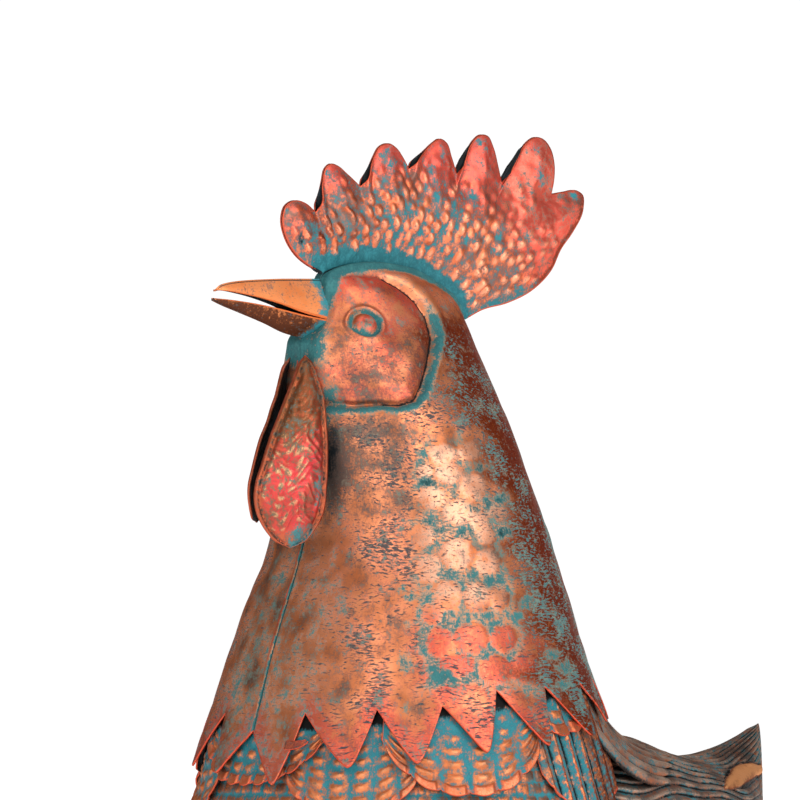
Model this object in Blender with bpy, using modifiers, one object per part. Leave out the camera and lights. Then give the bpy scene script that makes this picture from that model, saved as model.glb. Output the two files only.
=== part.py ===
"""Bust of a sheet-metal rooster: head and neck of two pressed halves over a flat-cut shoulder.

Metres, +Z up. The bird looks along -X, its left side is -Y, and the origin lies on the
underside, straight below the middle of the neck.
"""

import math

import bmesh
import bpy
import numpy as np

# Driving sizes
FIGURE_HEIGHT = 0.2784  # underside to the tip of the tallest comb point
SHEET = 0.0008  # thickness of the pressed steel sheet
TOUCH = 0.0003  # air left between two pieces that touch
SKIRT_GAP = 0.0040  # how far the neck's hem stands off the shoulders
TOOTH_COUNT = 20  # points round the hem
TOOTH_LENGTH = 0.0215
HEM_HEIGHT = 0.0340  # tip of the side points above the underside
HEM_RISE = 0.0108  # the hem climbs this much from the side to the nape, and falls as much in front
SKIRT_DEPTH = 0.0060  # plain sheet left between the highest notch and the shoulder's flat top
PLATE_LIFT = 0.0006  # air under a feather plate
COMB_SPREAD = 0.0052  # how far each comb sheet swells from the middle plane
BEAK_HALF_WIDTH = 0.0065
BEAK_SEAT = 0.0011  # from the head's curve to the rim of a mandible; the flat end between clears the curve
MOUTH_GAP = 0.0006  # between the two mandibles at the corner of the mouth
WATTLE_WIDTH = 0.0304
WATTLE_LENGTH = 0.0790
WATTLE_SWELL = 0.0060
WATTLE_TURN = 25.0  # degrees that each wattle faces forward of the side
WATTLE_TOP = 191.0  # height of its upper end, in units

# The free form keeps its proportions: UNIT is one millimetre at the height above
UNIT = FIGURE_HEIGHT / 278.4

# Head and neck, level sections: height, front line, back line, half width, in units
SECTIONS = np.array([
    (0.0, -93.5, 93.5, 93.5),
    (46.8, -79.0, 79.0, 79.0),
    (73.6, -70.1, 70.0, 71.0),
    (92.8, -62.5, 64.4, 65.5),
    (108.0, -56.9, 60.5, 59.6),
    (119.6, -56.0, 57.0, 56.7),
    (135.6, -55.8, 51.5, 52.0),
    (149.6, -55.8, 46.3, 46.6),
    (165.6, -55.8, 41.0, 40.2),
    (182.0, -56.0, 35.6, 31.0),
    (194.2, -56.6, 31.6, 23.8),
    (202.8, -50.0, 28.4, 18.0),
    (212.0, -47.2, 23.6, 13.4),
    (220.0, -46.8, 10.8, 9.2),
    (223.0, -45.0, 5.0, 6.8),
    (225.4, -38.5, -4.0, 4.4),
    (226.8, -30.0, -14.0, 2.4),
])
APEX = (-22.5, 227.4)  # top of the skull, x and height in units
CHEEK_VIEW = (0.755, 0.656)  # shares of x and side that make up "across" on the face
CHEEK_BOX = (-46.0, 12.5, 168.5, 222.5)  # across and height of the cheek panel's edges, in units
EYE = (-35.3, 14.1, 202.8)  # x, distance from the middle plane and height of the eye, in units

# Ridge of the back: distance behind the neck's axis, height, half width, in units
BACK_STATIONS = np.array([
    (52.0, 37.0, 60.0),
    (84.0, 38.0, 61.0),
    (100.0, 36.6, 59.5),
    (115.0, 32.6, 57.0),
    (128.0, 29.6, 54.0),
    (142.0, 28.6, 48.5),
    (155.0, 29.8, 38.0),
    (167.0, 33.4, 25.5),
    (178.0, 38.4, 13.0),
    (188.0, 42.4, 3.0),
])

# Comb outline from the forehead to the nape: x, height, and the x on the crest that each point springs from
COMB_OUTLINE = np.array([
    (-48.0, 224.0, -45.2), (-59.7, 229.8, -44.8), (-65.2, 237.1, -44.4), (-66.4, 244.2, -44.0),
    (-65.0, 249.8, -43.6), (-60.4, 251.6, -43.2), (-54.3, 250.8, -42.6), (-48.8, 247.6, -41.6),
    (-45.5, 254.4, -39.8), (-44.2, 264.1, -38.0), (-40.8, 266.4, -36.0), (-34.0, 263.6, -32.0),
    (-25.2, 257.7, -27.0), (-19.8, 263.6, -23.4), (-15.7, 271.8, -20.6), (-10.3, 274.5, -17.4),
    (-4.9, 272.3, -14.0), (0.5, 264.8, -10.0), (7.9, 270.7, -6.4), (14.7, 275.6, -3.0),
    (18.0, 276.6, -1.0), (21.4, 274.3, 1.2), (25.9, 263.1, 4.4), (30.9, 269.7, 7.0),
    (36.3, 277.4, 9.4), (40.1, 278.4, 11.0), (44.4, 276.4, 12.8), (49.8, 259.7, 15.6),
    (57.9, 267.7, 17.4), (64.6, 276.4, 18.8), (69.4, 277.5, 19.8), (74.8, 274.8, 20.8),
    (77.9, 266.6, 21.8), (76.6, 254.6, 22.8), (84.9, 255.9, 23.4), (91.0, 255.9, 23.9),
    (93.5, 253.4, 24.2), (93.1, 248.3, 24.5), (87.6, 239.1, 25.0), (80.9, 231.9, 25.4),
    (76.8, 223.8, 25.8), (66.0, 215.6, 26.3), (52.5, 210.5, 26.8), (39.0, 207.6, 27.2), (30.5, 204.0, 27.5),
])

# Middle line of a wattle: share of its length, x, distance from the middle plane, in units
WATTLE_PATH = np.array([
    (0.00, -58.9, 4.0),
    (0.20, -62.2, 9.2),
    (0.35, -64.6, 10.9),
    (0.50, -67.2, 10.5),
    (0.65, -70.0, 10.2),
    (1.00, -71.5, 9.9),
])

COPPER = (0.62, 0.24, 0.11)
RED = (0.66, 0.15, 0.12)
TEAL = (0.06, 0.29, 0.33)


def clear_scene():
    for thing in list(bpy.data.objects):
        bpy.data.objects.remove(thing, do_unlink=True)


def smooth_along(stations, values, where):
    """Monotone cubic through (stations, values): slopes are harmonic means of the neighbouring chords."""
    steps = np.diff(stations)
    chords = np.diff(values) / steps
    slopes = np.concatenate([[chords[0]], np.zeros(len(chords) - 1), [chords[-1]]])
    same_way = chords[1:] * chords[:-1] > 0
    safe = np.where(same_way, chords[1:] + chords[:-1], 1.0)
    slopes[1:-1] = np.where(same_way, 2 * chords[1:] * chords[:-1] / safe, 0.0)
    place = np.clip(np.searchsorted(stations, where) - 1, 0, len(steps) - 1)
    share = (where - stations[place]) / steps[place]
    width = steps[place]
    start = (1 + 2 * share) * (1 - share) ** 2
    end = share**2 * (3 - 2 * share)
    leave = share * (1 - share) ** 2
    arrive = share**2 * (share - 1)
    return (start * values[place] + end * values[place + 1]
            + width * (leave * slopes[place] + arrive * slopes[place + 1]))


def ease(value, low, high):
    share = np.clip((value - low) / (high - low), 0.0, 1.0)
    return share * share * (3 - 2 * share)


def section(height):
    """Middle, half length and half width of the head and neck at a height, in metres."""
    tall = height / UNIT
    top = APEX[1]
    stations = np.append(SECTIONS[:, 0], top)
    front = smooth_along(stations, np.append(SECTIONS[:, 1], APEX[0]), tall)
    back = smooth_along(stations, np.append(SECTIONS[:, 2], APEX[0]), tall)
    half = smooth_along(stations, np.append(SECTIONS[:, 3], 0.0), tall)
    return UNIT * (front + back) / 2, UNIT * (back - front) / 2, UNIT * half


def front_of_head(side, height):
    """The x of the head's front surface at a distance from the middle plane and a height."""
    middle, half_length, half_width = section(height)
    return middle - half_length * np.sqrt(np.clip(1 - (side / half_width) ** 2, 0.0, 1.0))


def face_relief(x, side, height):
    """Cheek panel, the groove round it and the eye, as a push outwards at a point of the plain head.

    The panel is a rounded box in the view from three quarters in front, open towards the beak."""
    across = CHEEK_VIEW[0] * x / UNIT + CHEEK_VIEW[1] * side / UNIT
    tall = height / UNIT
    left, right, low, high = CHEEK_BOX
    corner = 9.0 + 11.0 * ease(tall, 190.0, 205.0)
    out_x = np.abs(across - (left + right) / 2) - (right - left) / 2 + corner
    out_z = np.abs(tall - (low + high) / 2) - (high - low) / 2 + corner
    outside = np.hypot(np.maximum(out_x, 0), np.maximum(out_z, 0))
    edge = outside + np.minimum(np.maximum(out_x, out_z), 0) - corner
    cheek = 1.4 * ease(-edge, 0.0, 6.0)
    groove = -1.8 * np.exp(-((edge - 0.6) / 2.4) ** 2) * ease(across, -31.0, -24.0)
    away = np.hypot(np.hypot(x - UNIT * EYE[0], side - UNIT * EYE[1]), height - UNIT * EYE[2]) / UNIT
    ball = 2.2 * np.sqrt(np.clip(1 - (away / 5.4) ** 2, 0.0, 1.0))
    lid = 0.8 * np.exp(-((away - 7.4) / 1.4) ** 2)
    near_beak = ease(side / UNIT, 4.5, 8.0)
    near_crown = ease(APEX[1] - tall, 3.0, 9.0)
    return UNIT * near_beak * near_crown * (cheek + groove + ball + lid)


def hem_notch(turn):
    """Height of the notches round the hem: lowest in front, highest at the nape."""
    return HEM_HEIGHT + TOOTH_LENGTH - HEM_RISE * np.cos(turn)


def hem_drop(around):
    """How far the hem hangs below its notches, from 0 in a notch to 1 at a point; the sides bulge a little."""
    share = (around * TOOTH_COUNT / (2 * math.pi)) % 1.0
    return 1 - np.abs(2 * share - 1) ** 1.35


def shoulder_top():
    return HEM_HEIGHT + TOOTH_LENGTH + HEM_RISE + SKIRT_DEPTH


def shoulder_radius(height):
    """The shoulders follow the neck's own cone, smaller by the sheet and the gap under the hem."""
    return section(height)[2] - SHEET - SKIRT_GAP


def new_object(name, mesh, material, smooth=True):
    thing = bpy.data.objects.new(name, mesh)
    bpy.data.collections["rooster bust"].objects.link(thing)
    mesh.materials.append(material)
    if smooth:
        mesh.shade_smooth()
        mesh.set_sharp_from_angle(angle=math.radians(40.0))
    return thing


def metal(name, colour, roughness):
    material = bpy.data.materials.new(name)
    material.use_nodes = True
    shader = material.node_tree.nodes["Principled BSDF"]
    shader.inputs["Base Color"].default_value = (*colour, 1.0)
    shader.inputs["Metallic"].default_value = 0.9
    shader.inputs["Roughness"].default_value = roughness
    return material


def moved_sphere(columns, rows, place):
    """A sphere of rows and columns, each vertex moved to place(row, angle)."""
    shape = bmesh.new()
    bmesh.ops.create_uvsphere(shape, u_segments=columns, v_segments=rows, radius=1.0)
    for vertex in shape.verts:
        row = round(math.acos(max(-1.0, min(1.0, vertex.co.z))) / math.pi * rows)
        column = round(math.atan2(vertex.co.y, vertex.co.x) / (2 * math.pi) * columns)
        vertex.co = place(row, 2 * math.pi * column / columns)
    return shape


def moved_grid(columns, rows, place):
    """A flat grid of columns by rows whose vertices go to place(u, v), both from 0 to 1, as an open mesh."""
    shape = bmesh.new()
    bmesh.ops.create_grid(shape, x_segments=columns, y_segments=rows, size=0.5)
    flat = np.array([vertex.co[:2] for vertex in shape.verts]) + 0.5
    for vertex, spot in zip(shape.verts, place(flat[:, 0], flat[:, 1])):
        vertex.co = spot
    return shape


def sheet_object(name, shape, material, outward):
    """An open surface given the sheet's thickness on its outward side."""
    bmesh.ops.recalc_face_normals(shape, faces=shape.faces)
    shape.normal_update()
    lean = sum((face.normal * face.calc_area() for face in shape.faces), start=shape.faces[0].normal * 0)
    if lean.dot(outward) < 0:
        bmesh.ops.reverse_faces(shape, faces=shape.faces)
    mesh = bpy.data.meshes.new(name)
    shape.to_mesh(mesh)
    shape.free()
    thing = new_object(name, mesh, material)
    wall = thing.modifiers.new("sheet", "SOLIDIFY")
    wall.thickness = SHEET
    wall.offset = 1.0
    wall.use_even_offset = False
    return thing


def neck_point(row, around):
    """The closed skin of head and neck: down the outside to the hem, then up the inside to the ceiling."""
    turn = math.pi - abs(math.atan2(math.sin(around), math.cos(around)))
    notch = float(hem_notch(turn))
    heights = head_rows(notch)
    drop = float(hem_drop(around)) * TOOTH_LENGTH
    lean = math.radians(2.0 + 4.0 * turn / math.pi) * drop / TOOTH_LENGTH
    side = 1.0 if math.sin(around) > 1e-9 else -1.0 if math.sin(around) < -1e-9 else 0.0
    inward = 0.0
    if row == 0:
        return (UNIT * APEX[0], 0.0, UNIT * APEX[1])
    if row <= len(heights):
        height = heights[row - 1]
        lean = 0.0
    elif row <= len(heights) + 2:
        height = notch - drop
        around -= lean * side
        inward = SHEET * (row - len(heights) - 1)
    elif row < NECK_ROWS:
        height = shoulder_top()
        inward = SHEET
    else:
        return (0.0, 0.0, shoulder_top())
    middle, half_length, half_width = section(height)
    x = middle + (half_length - inward) * math.cos(around)
    y = (half_width - inward) * math.sin(around)
    normal = np.array([math.cos(around) * half_width, math.sin(around) * half_length])
    normal /= np.hypot(*normal)
    push = float(face_relief(x, abs(y), height)) if row <= len(heights) else 0.0
    return (float(x + push * normal[0]), float(y + push * normal[1]), float(height))


def head_rows(notch):
    """Heights of the outside rows: close together over the face, wider down the neck to the notches."""
    crown = [226.9, 225.2, 222.3]
    face = list(np.linspace(218.0, 166.5, 11))
    neck = list(np.linspace(156.0, 86.0, 5))
    rows = [UNIT * height for height in crown + face + neck]
    return rows + [max(notch, 0.0) + SKIRT_DEPTH / 2]


NECK_ROWS = 20 + 2 + 1 + 1  # outside rows, hem in two rows, ceiling rim and its middle


def make_neck_halves(material):
    for name, side in (("head_and_neck_left", -1), ("head_and_neck_right", 1)):
        shape = moved_sphere(4 * TOOTH_COUNT, NECK_ROWS, neck_point)
        bmesh.ops.bisect_plane(
            shape,
            geom=shape.verts[:] + shape.edges[:] + shape.faces[:],
            dist=1e-7,
            plane_co=(0.0, side * TOUCH / 2, 0.0),
            plane_no=(0.0, -side, 0.0),
            clear_outer=True,
        )
        rim = [edge for edge in shape.edges if edge.is_boundary]
        bmesh.ops.contextual_create(shape, geom=rim)
        bmesh.ops.recalc_face_normals(shape, faces=shape.faces)
        bmesh.ops.triangulate(shape, faces=shape.faces, ngon_method="EAR_CLIP")
        mesh = bpy.data.meshes.new(name)
        shape.to_mesh(mesh)
        shape.free()
        new_object(name, mesh, material)


def lathe_profile(grow):
    """Shoulder profile from the flat top down to the underside, larger by grow on every side."""
    top = shoulder_top() - TOUCH
    heights = np.linspace(top, 0.0, 6)
    radii = np.array([float(shoulder_radius(height)) for height in heights]) + grow
    lift = [grow] + [0.0] * (len(heights) - 2) + [-grow]
    return [(float(r), 0.0, float(z + up)) for r, z, up in zip(radii, heights, lift)]


def make_lathe(name, grow, steps):
    """Turns the shoulder profile about the neck's axis and closes it at top and bottom."""
    profile = lathe_profile(grow)
    points = [(0.0, 0.0, profile[0][2])] + profile + [(0.0, 0.0, profile[-1][2])]
    mesh = bpy.data.meshes.new(name)
    mesh.from_pydata(points, [(i, i + 1) for i in range(len(points) - 1)], [])
    thing = bpy.data.objects.new(name, mesh)
    bpy.data.collections["rooster bust"].objects.link(thing)
    turned = thing.modifiers.new("turn", "SCREW")
    turned.steps = turned.render_steps = steps
    turned.use_merge_vertices = True
    turned.merge_threshold = 1e-5
    return thing


def back_form(x):
    """Height and half width of the back at a distance behind the neck's axis."""
    stations = UNIT * BACK_STATIONS[:, 0]
    height = smooth_along(stations, UNIT * BACK_STATIONS[:, 1], x)
    half = smooth_along(stations, UNIT * BACK_STATIONS[:, 2], x)
    return height, half


def back_surface(x, share, lift):
    """A point of the back's skin: share runs from -1 at the right rim over the ridge to 1 at the left rim."""
    height, half = back_form(x)
    angle = share * math.pi / 2
    y = -half * np.sin(angle)
    z = height * np.cos(angle) ** 0.9
    normal_y, normal_z = -np.sin(angle) * height, np.cos(angle) * half
    size = np.hypot(normal_y, normal_z)
    return np.stack([x, y + lift * normal_y / size, z + lift * normal_z / size], axis=1)


def make_back(material):
    """The back is a lofted solid whose front end is cut to the shoulder's cone."""
    start, end = UNIT * BACK_STATIONS[0, 0], UNIT * BACK_STATIONS[-1, 0]
    columns, rows = 18, 14

    def place(u, v):
        return back_surface(start + (end - start) * u, 2 * v - 1, 0.0)

    shape = moved_grid(columns, rows, place)
    rims = {}
    for vertex in shape.verts:
        if vertex.is_boundary:
            rims.setdefault(round(vertex.co.x, 6), []).append(vertex)
    for vertex in shape.verts:
        if vertex.co.z < 1e-5:
            vertex.co.z = 0.0
    rim = [edge for edge in shape.edges if edge.is_boundary]
    grown = bmesh.ops.extrude_edge_only(shape, edges=rim)["geom"]
    for vertex in (item for item in grown if isinstance(item, bmesh.types.BMVert)):
        vertex.co.z = 0.0
    bmesh.ops.remove_doubles(shape, verts=shape.verts, dist=1e-6)
    floor = [edge for edge in shape.edges if edge.is_boundary]
    bmesh.ops.contextual_create(shape, geom=floor)
    bmesh.ops.recalc_face_normals(shape, faces=shape.faces)
    mesh = bpy.data.meshes.new("back")
    shape.to_mesh(mesh)
    shape.free()
    back = new_object("back", mesh, material)
    cutter = make_lathe("shoulder_cutter", TOUCH, 64)
    bpy.data.collections["rooster bust"].objects.unlink(cutter)
    bpy.data.collections["cutters"].objects.link(cutter)
    cutter.hide_render = True
    cutter.display_type = "WIRE"
    cut = back.modifiers.new("fit to shoulders", "BOOLEAN")
    cut.operation = "DIFFERENCE"
    cut.object = cutter


def cone_plate(name, material, middle, half_turn, low, layer, lobes, ribs, columns, rows):
    """A pressed feather plate on the shoulders. middle and half_turn are degrees from the beak, low its tip."""
    base = PLATE_LIFT + layer * (SHEET + PLATE_LIFT)
    side = -1.0 if name.endswith("left") else 1.0

    def place(u, v):
        across = 2 * u - 1
        turn = np.radians(middle + half_turn * across)
        notch = hem_notch(turn)
        tip = low + 0.55 * (HEM_HEIGHT - low) * np.abs(across) ** 2.5
        scallop = UNIT * 1.6 * np.abs(np.sin(math.pi * lobes * u)) if lobes else 0.0
        bottom = tip - scallop + UNIT * 1.6
        height = bottom + (notch - bottom) * (1 - v)
        ribbed = np.clip((u - 0.15) / 0.85, 0.0, 1.0)
        rib = 0.5 * SHEET * (1 - np.cos(2 * math.pi * ribs * ribbed)) * ease(v, 0.0, 0.3)
        radius = shoulder_radius(height) + base + rib
        return np.stack([-radius * np.cos(turn), side * radius * np.sin(turn), height], axis=1)

    shape = moved_grid(columns, rows, place)
    facing = (-math.cos(math.radians(middle)), side * math.sin(math.radians(middle)), 0.0)
    return sheet_object(name, shape, material, facing)


def make_plates(material):
    scale = UNIT
    cone_plate("breast_feather", material, 0.0, 17.0, 17.0 * scale, 1, 5, 0, 10, 2)
    for side in ("left", "right"):
        cone_plate("side_feather_" + side, material, 33.0, 18.0, 7.0 * scale, 0, 5, 0, 10, 2)
        cone_plate("shoulder_fan_" + side, material, 65.0, 23.0, 13.0 * scale, 1, 7, 0, 14, 2)
        cone_plate("back_feathers_" + side, material, 106.0, 22.0, 5.0 * scale, 0, 0, 5, 15, 2)


def make_saddle(material):
    """Long saddle feathers laid over the ridge, from under the hem to the tail's root, ribbed along their length."""
    start, end = UNIT * 90.0, UNIT * 184.0
    ribs = 5

    def place(u, v):
        share = 0.62 * (2 * v - 1)
        x = start + (end - start) * u - UNIT * 5.0 * np.abs(2 * v - 1) ** 2
        lift = 2 * PLATE_LIFT + 0.4 * SHEET * (1 - np.cos(2 * math.pi * ribs * v))
        return back_surface(x, share, lift)

    sheet_object("saddle_feathers", moved_grid(9, 10, place), material, (0.0, 0.0, 1.0))


def crest_height(x):
    """Height of the skull's top line in the middle plane at x, from the forehead over the crown to the nape."""
    heights = UNIT * np.linspace(200.0, APEX[1], 300)
    middle, half_length, _ = section(heights)
    front, back = middle - half_length, middle + half_length
    line_x = np.concatenate([front, back[::-1]])
    return np.interp(x, line_x, np.concatenate([heights, heights[::-1]]))


def comb_line(share):
    """Outline point and crest point at a share of the outline's length, evenly spaced along it."""
    steps = np.hypot(*np.diff(COMB_OUTLINE[:, :2], axis=0).T)
    far = np.concatenate([[0.0], np.cumsum(steps)])
    edge_x, edge_z, crest_x = (UNIT * np.interp(share * far[-1], far, column) for column in COMB_OUTLINE.T)
    return edge_x, edge_z, crest_x, crest_height(crest_x) + 2 * TOUCH


def make_comb(material):
    """Two pressed sheets, back to back, that swell apart between the crest and the points."""
    for name, side in (("comb_left", -1.0), ("comb_right", 1.0)):

        def place(u, v, side=side):
            edge_x, edge_z, base_x, base_z = comb_line(u)
            swell = np.sin(math.pi * np.clip(v, 0, 1)) ** 0.8 * ease(u, 0.0, 0.12) * ease(1 - u, 0.0, 0.12)
            out = TOUCH / 2 + COMB_SPREAD * swell
            lift = base_z + (edge_z - base_z) * v
            return np.stack([base_x + (edge_x - base_x) * v, side * out, lift], axis=1)

        sheet_object(name, moved_grid(48, 3, place), material, (0.0, side, 0.0))


def mandible(name, material, tip, ridge, edge):
    """A folded sheet, V-shaped across: ridge and edge are lists of (x, height) from the tip to the head.

    Six lines run from tip to head: the fold, an outer and an inner rim on each side, and the fold's inner side."""
    ridge, edge = UNIT * np.array([tip] + ridge), UNIT * np.array([tip] + edge)
    lines = 6
    side_of_line = np.array([0, 1, 1, 0, -1, -1, 0])
    inner_line = np.array([0, 0, 1, 1, 1, 0, 0])

    def follow(points, share):
        stations = np.linspace(0.0, 1.0, len(points))
        return [smooth_along(stations, points[:, axis], share) for axis in (0, 1)]

    def place(u, v):
        line = np.rint(v * lines).astype(int)
        at_rim, inner = np.abs(side_of_line[line]), inner_line[line]
        along = 0.03 + 0.97 * u
        (ridge_x, ridge_z), (edge_x, edge_z) = follow(ridge, along), follow(edge, along)
        half = BEAK_HALF_WIDTH * along**0.9
        fold = np.where(inner * (1 - at_rim) == 1, np.minimum(2 * SHEET / np.abs(edge_z - ridge_z), 0.6), at_rim)
        height = ridge_z + (edge_z - ridge_z) * fold
        side = side_of_line[line] * (half - inner * np.minimum(SHEET, 0.5 * half))
        limit = front_of_head(np.abs(side), height) - BEAK_SEAT
        x = np.where(u > 0.999, limit, np.minimum(ridge_x + (edge_x - ridge_x) * fold, limit))
        return np.stack([x, side, height], axis=1)

    shape = moved_grid(6, lines, place)
    bmesh.ops.remove_doubles(shape, verts=shape.verts, dist=1e-6)
    ends = [edge_of for edge_of in shape.edges if edge_of.is_boundary]
    bmesh.ops.holes_fill(shape, edges=ends, sides=lines)
    bmesh.ops.recalc_face_normals(shape, faces=shape.faces)
    bmesh.ops.triangulate(shape, faces=shape.faces, ngon_method="EAR_CLIP")
    mesh = bpy.data.meshes.new(name)
    shape.to_mesh(mesh)
    shape.free()
    new_object(name, mesh, material)


def make_beak(material):
    corner = 204.0
    gap = MOUTH_GAP / UNIT
    mandible(
        "upper_beak", material, (-101.2, 216.6),
        [(-89.4, 219.3), (-75.9, 220.0), (-62.0, 220.2), (-47.0, 220.0)],
        [(-86.0, 213.8), (-71.0, 210.3), (-58.0, 206.9), (-46.0, corner)],
    )
    mandible(
        "lower_beak", material, (-102.6, 212.2),
        [(-89.4, 207.6), (-76.0, 202.9), (-65.0, 198.9), (-57.5, 197.4)],
        [(-86.0, 211.9), (-71.0, 208.4), (-58.0, 205.6), (-46.0, corner - gap - 0.6)],
    )


def make_wattles(material):
    """Two teardrop shells hung from the throat, hollow sides facing each other."""
    turn = math.radians(WATTLE_TURN)
    stations, path_x, path_side = WATTLE_PATH.T
    for name, side in (("wattle_left", -1.0), ("wattle_right", 1.0)):

        def place(u, v, side=side):
            along = 0.012 + 0.98 * v
            across = 2 * u - 1
            half = WATTLE_WIDTH / 2 * np.sin(math.pi * along**1.943) ** 0.445
            dish = WATTLE_SWELL * (1 - across**2) * np.sin(math.pi * along) ** 0.6
            x = UNIT * smooth_along(stations, path_x, along) + half * across * math.cos(turn) - dish * math.sin(turn)
            y = UNIT * smooth_along(stations, path_side, along) + half * across * math.sin(turn)
            y += dish * math.cos(turn)
            return np.stack([x, side * y, UNIT * WATTLE_TOP - WATTLE_LENGTH * along], axis=1)

        sheet_object(name, moved_grid(6, 8, place), material, (-math.sin(turn), side * math.cos(turn), 0.0))


def build():
    clear_scene()
    for title in ("rooster bust", "cutters"):
        collection = bpy.data.collections.get(title) or bpy.data.collections.new(title)
        if title not in bpy.context.scene.collection.children:
            bpy.context.scene.collection.children.link(collection)
    copper = metal("copper_patina", COPPER, 0.4)
    red = metal("red_copper", RED, 0.45)
    teal = metal("teal_patina", TEAL, 0.55)
    make_neck_halves(copper)
    shoulders = make_lathe("shoulders", 0.0, 60)
    shoulders.data.materials.append(teal)
    make_back(teal)
    make_plates(teal)
    make_saddle(teal)
    make_comb(red)
    make_beak(copper)
    make_wattles(red)


build()
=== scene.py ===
import math

import bmesh
import bpy
import numpy as np
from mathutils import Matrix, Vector


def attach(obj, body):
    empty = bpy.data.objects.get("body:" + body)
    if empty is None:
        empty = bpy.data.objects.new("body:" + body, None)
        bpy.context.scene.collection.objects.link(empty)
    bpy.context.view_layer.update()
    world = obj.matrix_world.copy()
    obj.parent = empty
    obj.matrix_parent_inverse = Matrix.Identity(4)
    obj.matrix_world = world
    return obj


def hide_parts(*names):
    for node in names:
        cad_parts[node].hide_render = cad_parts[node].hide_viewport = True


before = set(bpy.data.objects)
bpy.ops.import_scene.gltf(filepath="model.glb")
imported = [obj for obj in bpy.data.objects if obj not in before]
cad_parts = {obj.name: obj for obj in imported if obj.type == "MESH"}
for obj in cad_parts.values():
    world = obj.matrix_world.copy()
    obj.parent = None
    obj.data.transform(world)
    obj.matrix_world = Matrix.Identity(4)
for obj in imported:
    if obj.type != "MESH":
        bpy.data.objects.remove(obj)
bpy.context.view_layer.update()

# Shoulders.
# The top of the body, pressed from thin steel sheet in rows of small round-topped feathers, painted
# teal and rubbed with copper on the high spots. The neck's toothed hem hangs over its upper part.

MM = 0.001
SIDES = ((-1, "left"), (1, "right"))  # the sign of y on each side
SHEET = 0.8  # mm, the steel sheet
NECK_SECTIONS = np.array([  # height, front line, back line, half width of the head and neck, mm
    (0, -93.5, 93.5, 93.5), (46.8, -79, 79, 79), (73.6, -70.1, 70, 71), (92.8, -62.5, 64, 65.2),
    (108, -56.7, 60, 59), (119.6, -53.4, 56.4, 55.6), (135.6, -52.6, 50.6, 50.8),
    (149.6, -53.2, 46.3, 46.6), (165.6, -54.6, 41, 40.2), (182, -56, 35.6, 31),
    (194.2, -56.6, 31.6, 23.8), (202.8, -50, 28.4, 18), (212, -47.2, 23.6, 13.4),
    (220, -46.8, 10.8, 9.2), (223, -45, 5, 6.8), (225.4, -38.5, -4, 4.4), (226.8, -30, -14, 2.4),
    (227.4, -22.5, -22.5, 0),
])
CROWN = 227.4  # mm, height of the skull
HEM_GAP = 4  # mm between the hem's sheet and the shoulders
SHOULDER_TOP = 72.3  # mm


def ease(value, low, high):
    """Smooth step: 0 below low, 1 above high."""
    share = np.clip((value - low) / (high - low), 0, 1)
    return share * share * (3 - 2 * share)


def stacked(*parts):
    """Coordinates joined into points."""
    return np.stack(parts, axis=-1)


def fade(value, low, high):
    """Smooth step: 1 below low, 0 above high."""
    return 1 - ease(value, low, high)


def bell(value, width, power=2):
    """Bell of height 1 round zero: e to minus a power of the distance over the width."""
    return np.exp(-np.abs(value / width) ** power)


def cubic(share, width, first, last, slope, last_slope):
    """Cubic between two values with given slopes: share is the place on the way, width their distance."""
    return (
        (1 + 2 * share) * (1 - share) ** 2 * first + share**2 * (3 - 2 * share) * last
        + width * share * (1 - share) ** 2 * slope + width * share**2 * (share - 1) * last_slope
    )


def blend_between(stations, values, where):
    """Monotone cubic: slopes are harmonic means of the neighbouring chords, and zero where they turn."""
    steps = np.diff(stations)
    chords = np.diff(values) / steps
    slopes = np.concatenate([[chords[0]], np.zeros(len(chords) - 1), [chords[-1]]])
    same_way = chords[1:] * chords[:-1] > 0
    total = np.where(same_way, chords[1:] + chords[:-1], 1)
    slopes[1:-1] = np.where(same_way, 2 * chords[1:] * chords[:-1] / total, 0)
    place = np.clip(np.searchsorted(stations, where) - 1, 0, len(steps) - 1)
    share = (where - stations[place]) / steps[place]
    return cubic(share, steps[place], values[place], values[place + 1], slopes[place], slopes[place + 1])


def look_up(table, where):
    """The columns of a table after its first, blended at a place in the first."""
    stations, *columns = table.T
    return [blend_between(stations, column, where) for column in columns]


def neck_section(height):
    """Middle, half length and half width of the head and neck at a height, all in mm."""
    front, back, half = look_up(NECK_SECTIONS, height)
    return (front + back) / 2, (back - front) / 2, half


def outward_normals(points, facing):
    """Unit normals of a grid of points: the cross product of its two gradients, looking outwards."""
    normal = np.cross(np.gradient(points, axis=1), np.gradient(points, axis=0))
    normal = normal / np.maximum(np.linalg.norm(normal, axis=-1, keepdims=True), 1e-9)
    return normal if np.sum(normal * facing) > 0 else -normal


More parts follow.
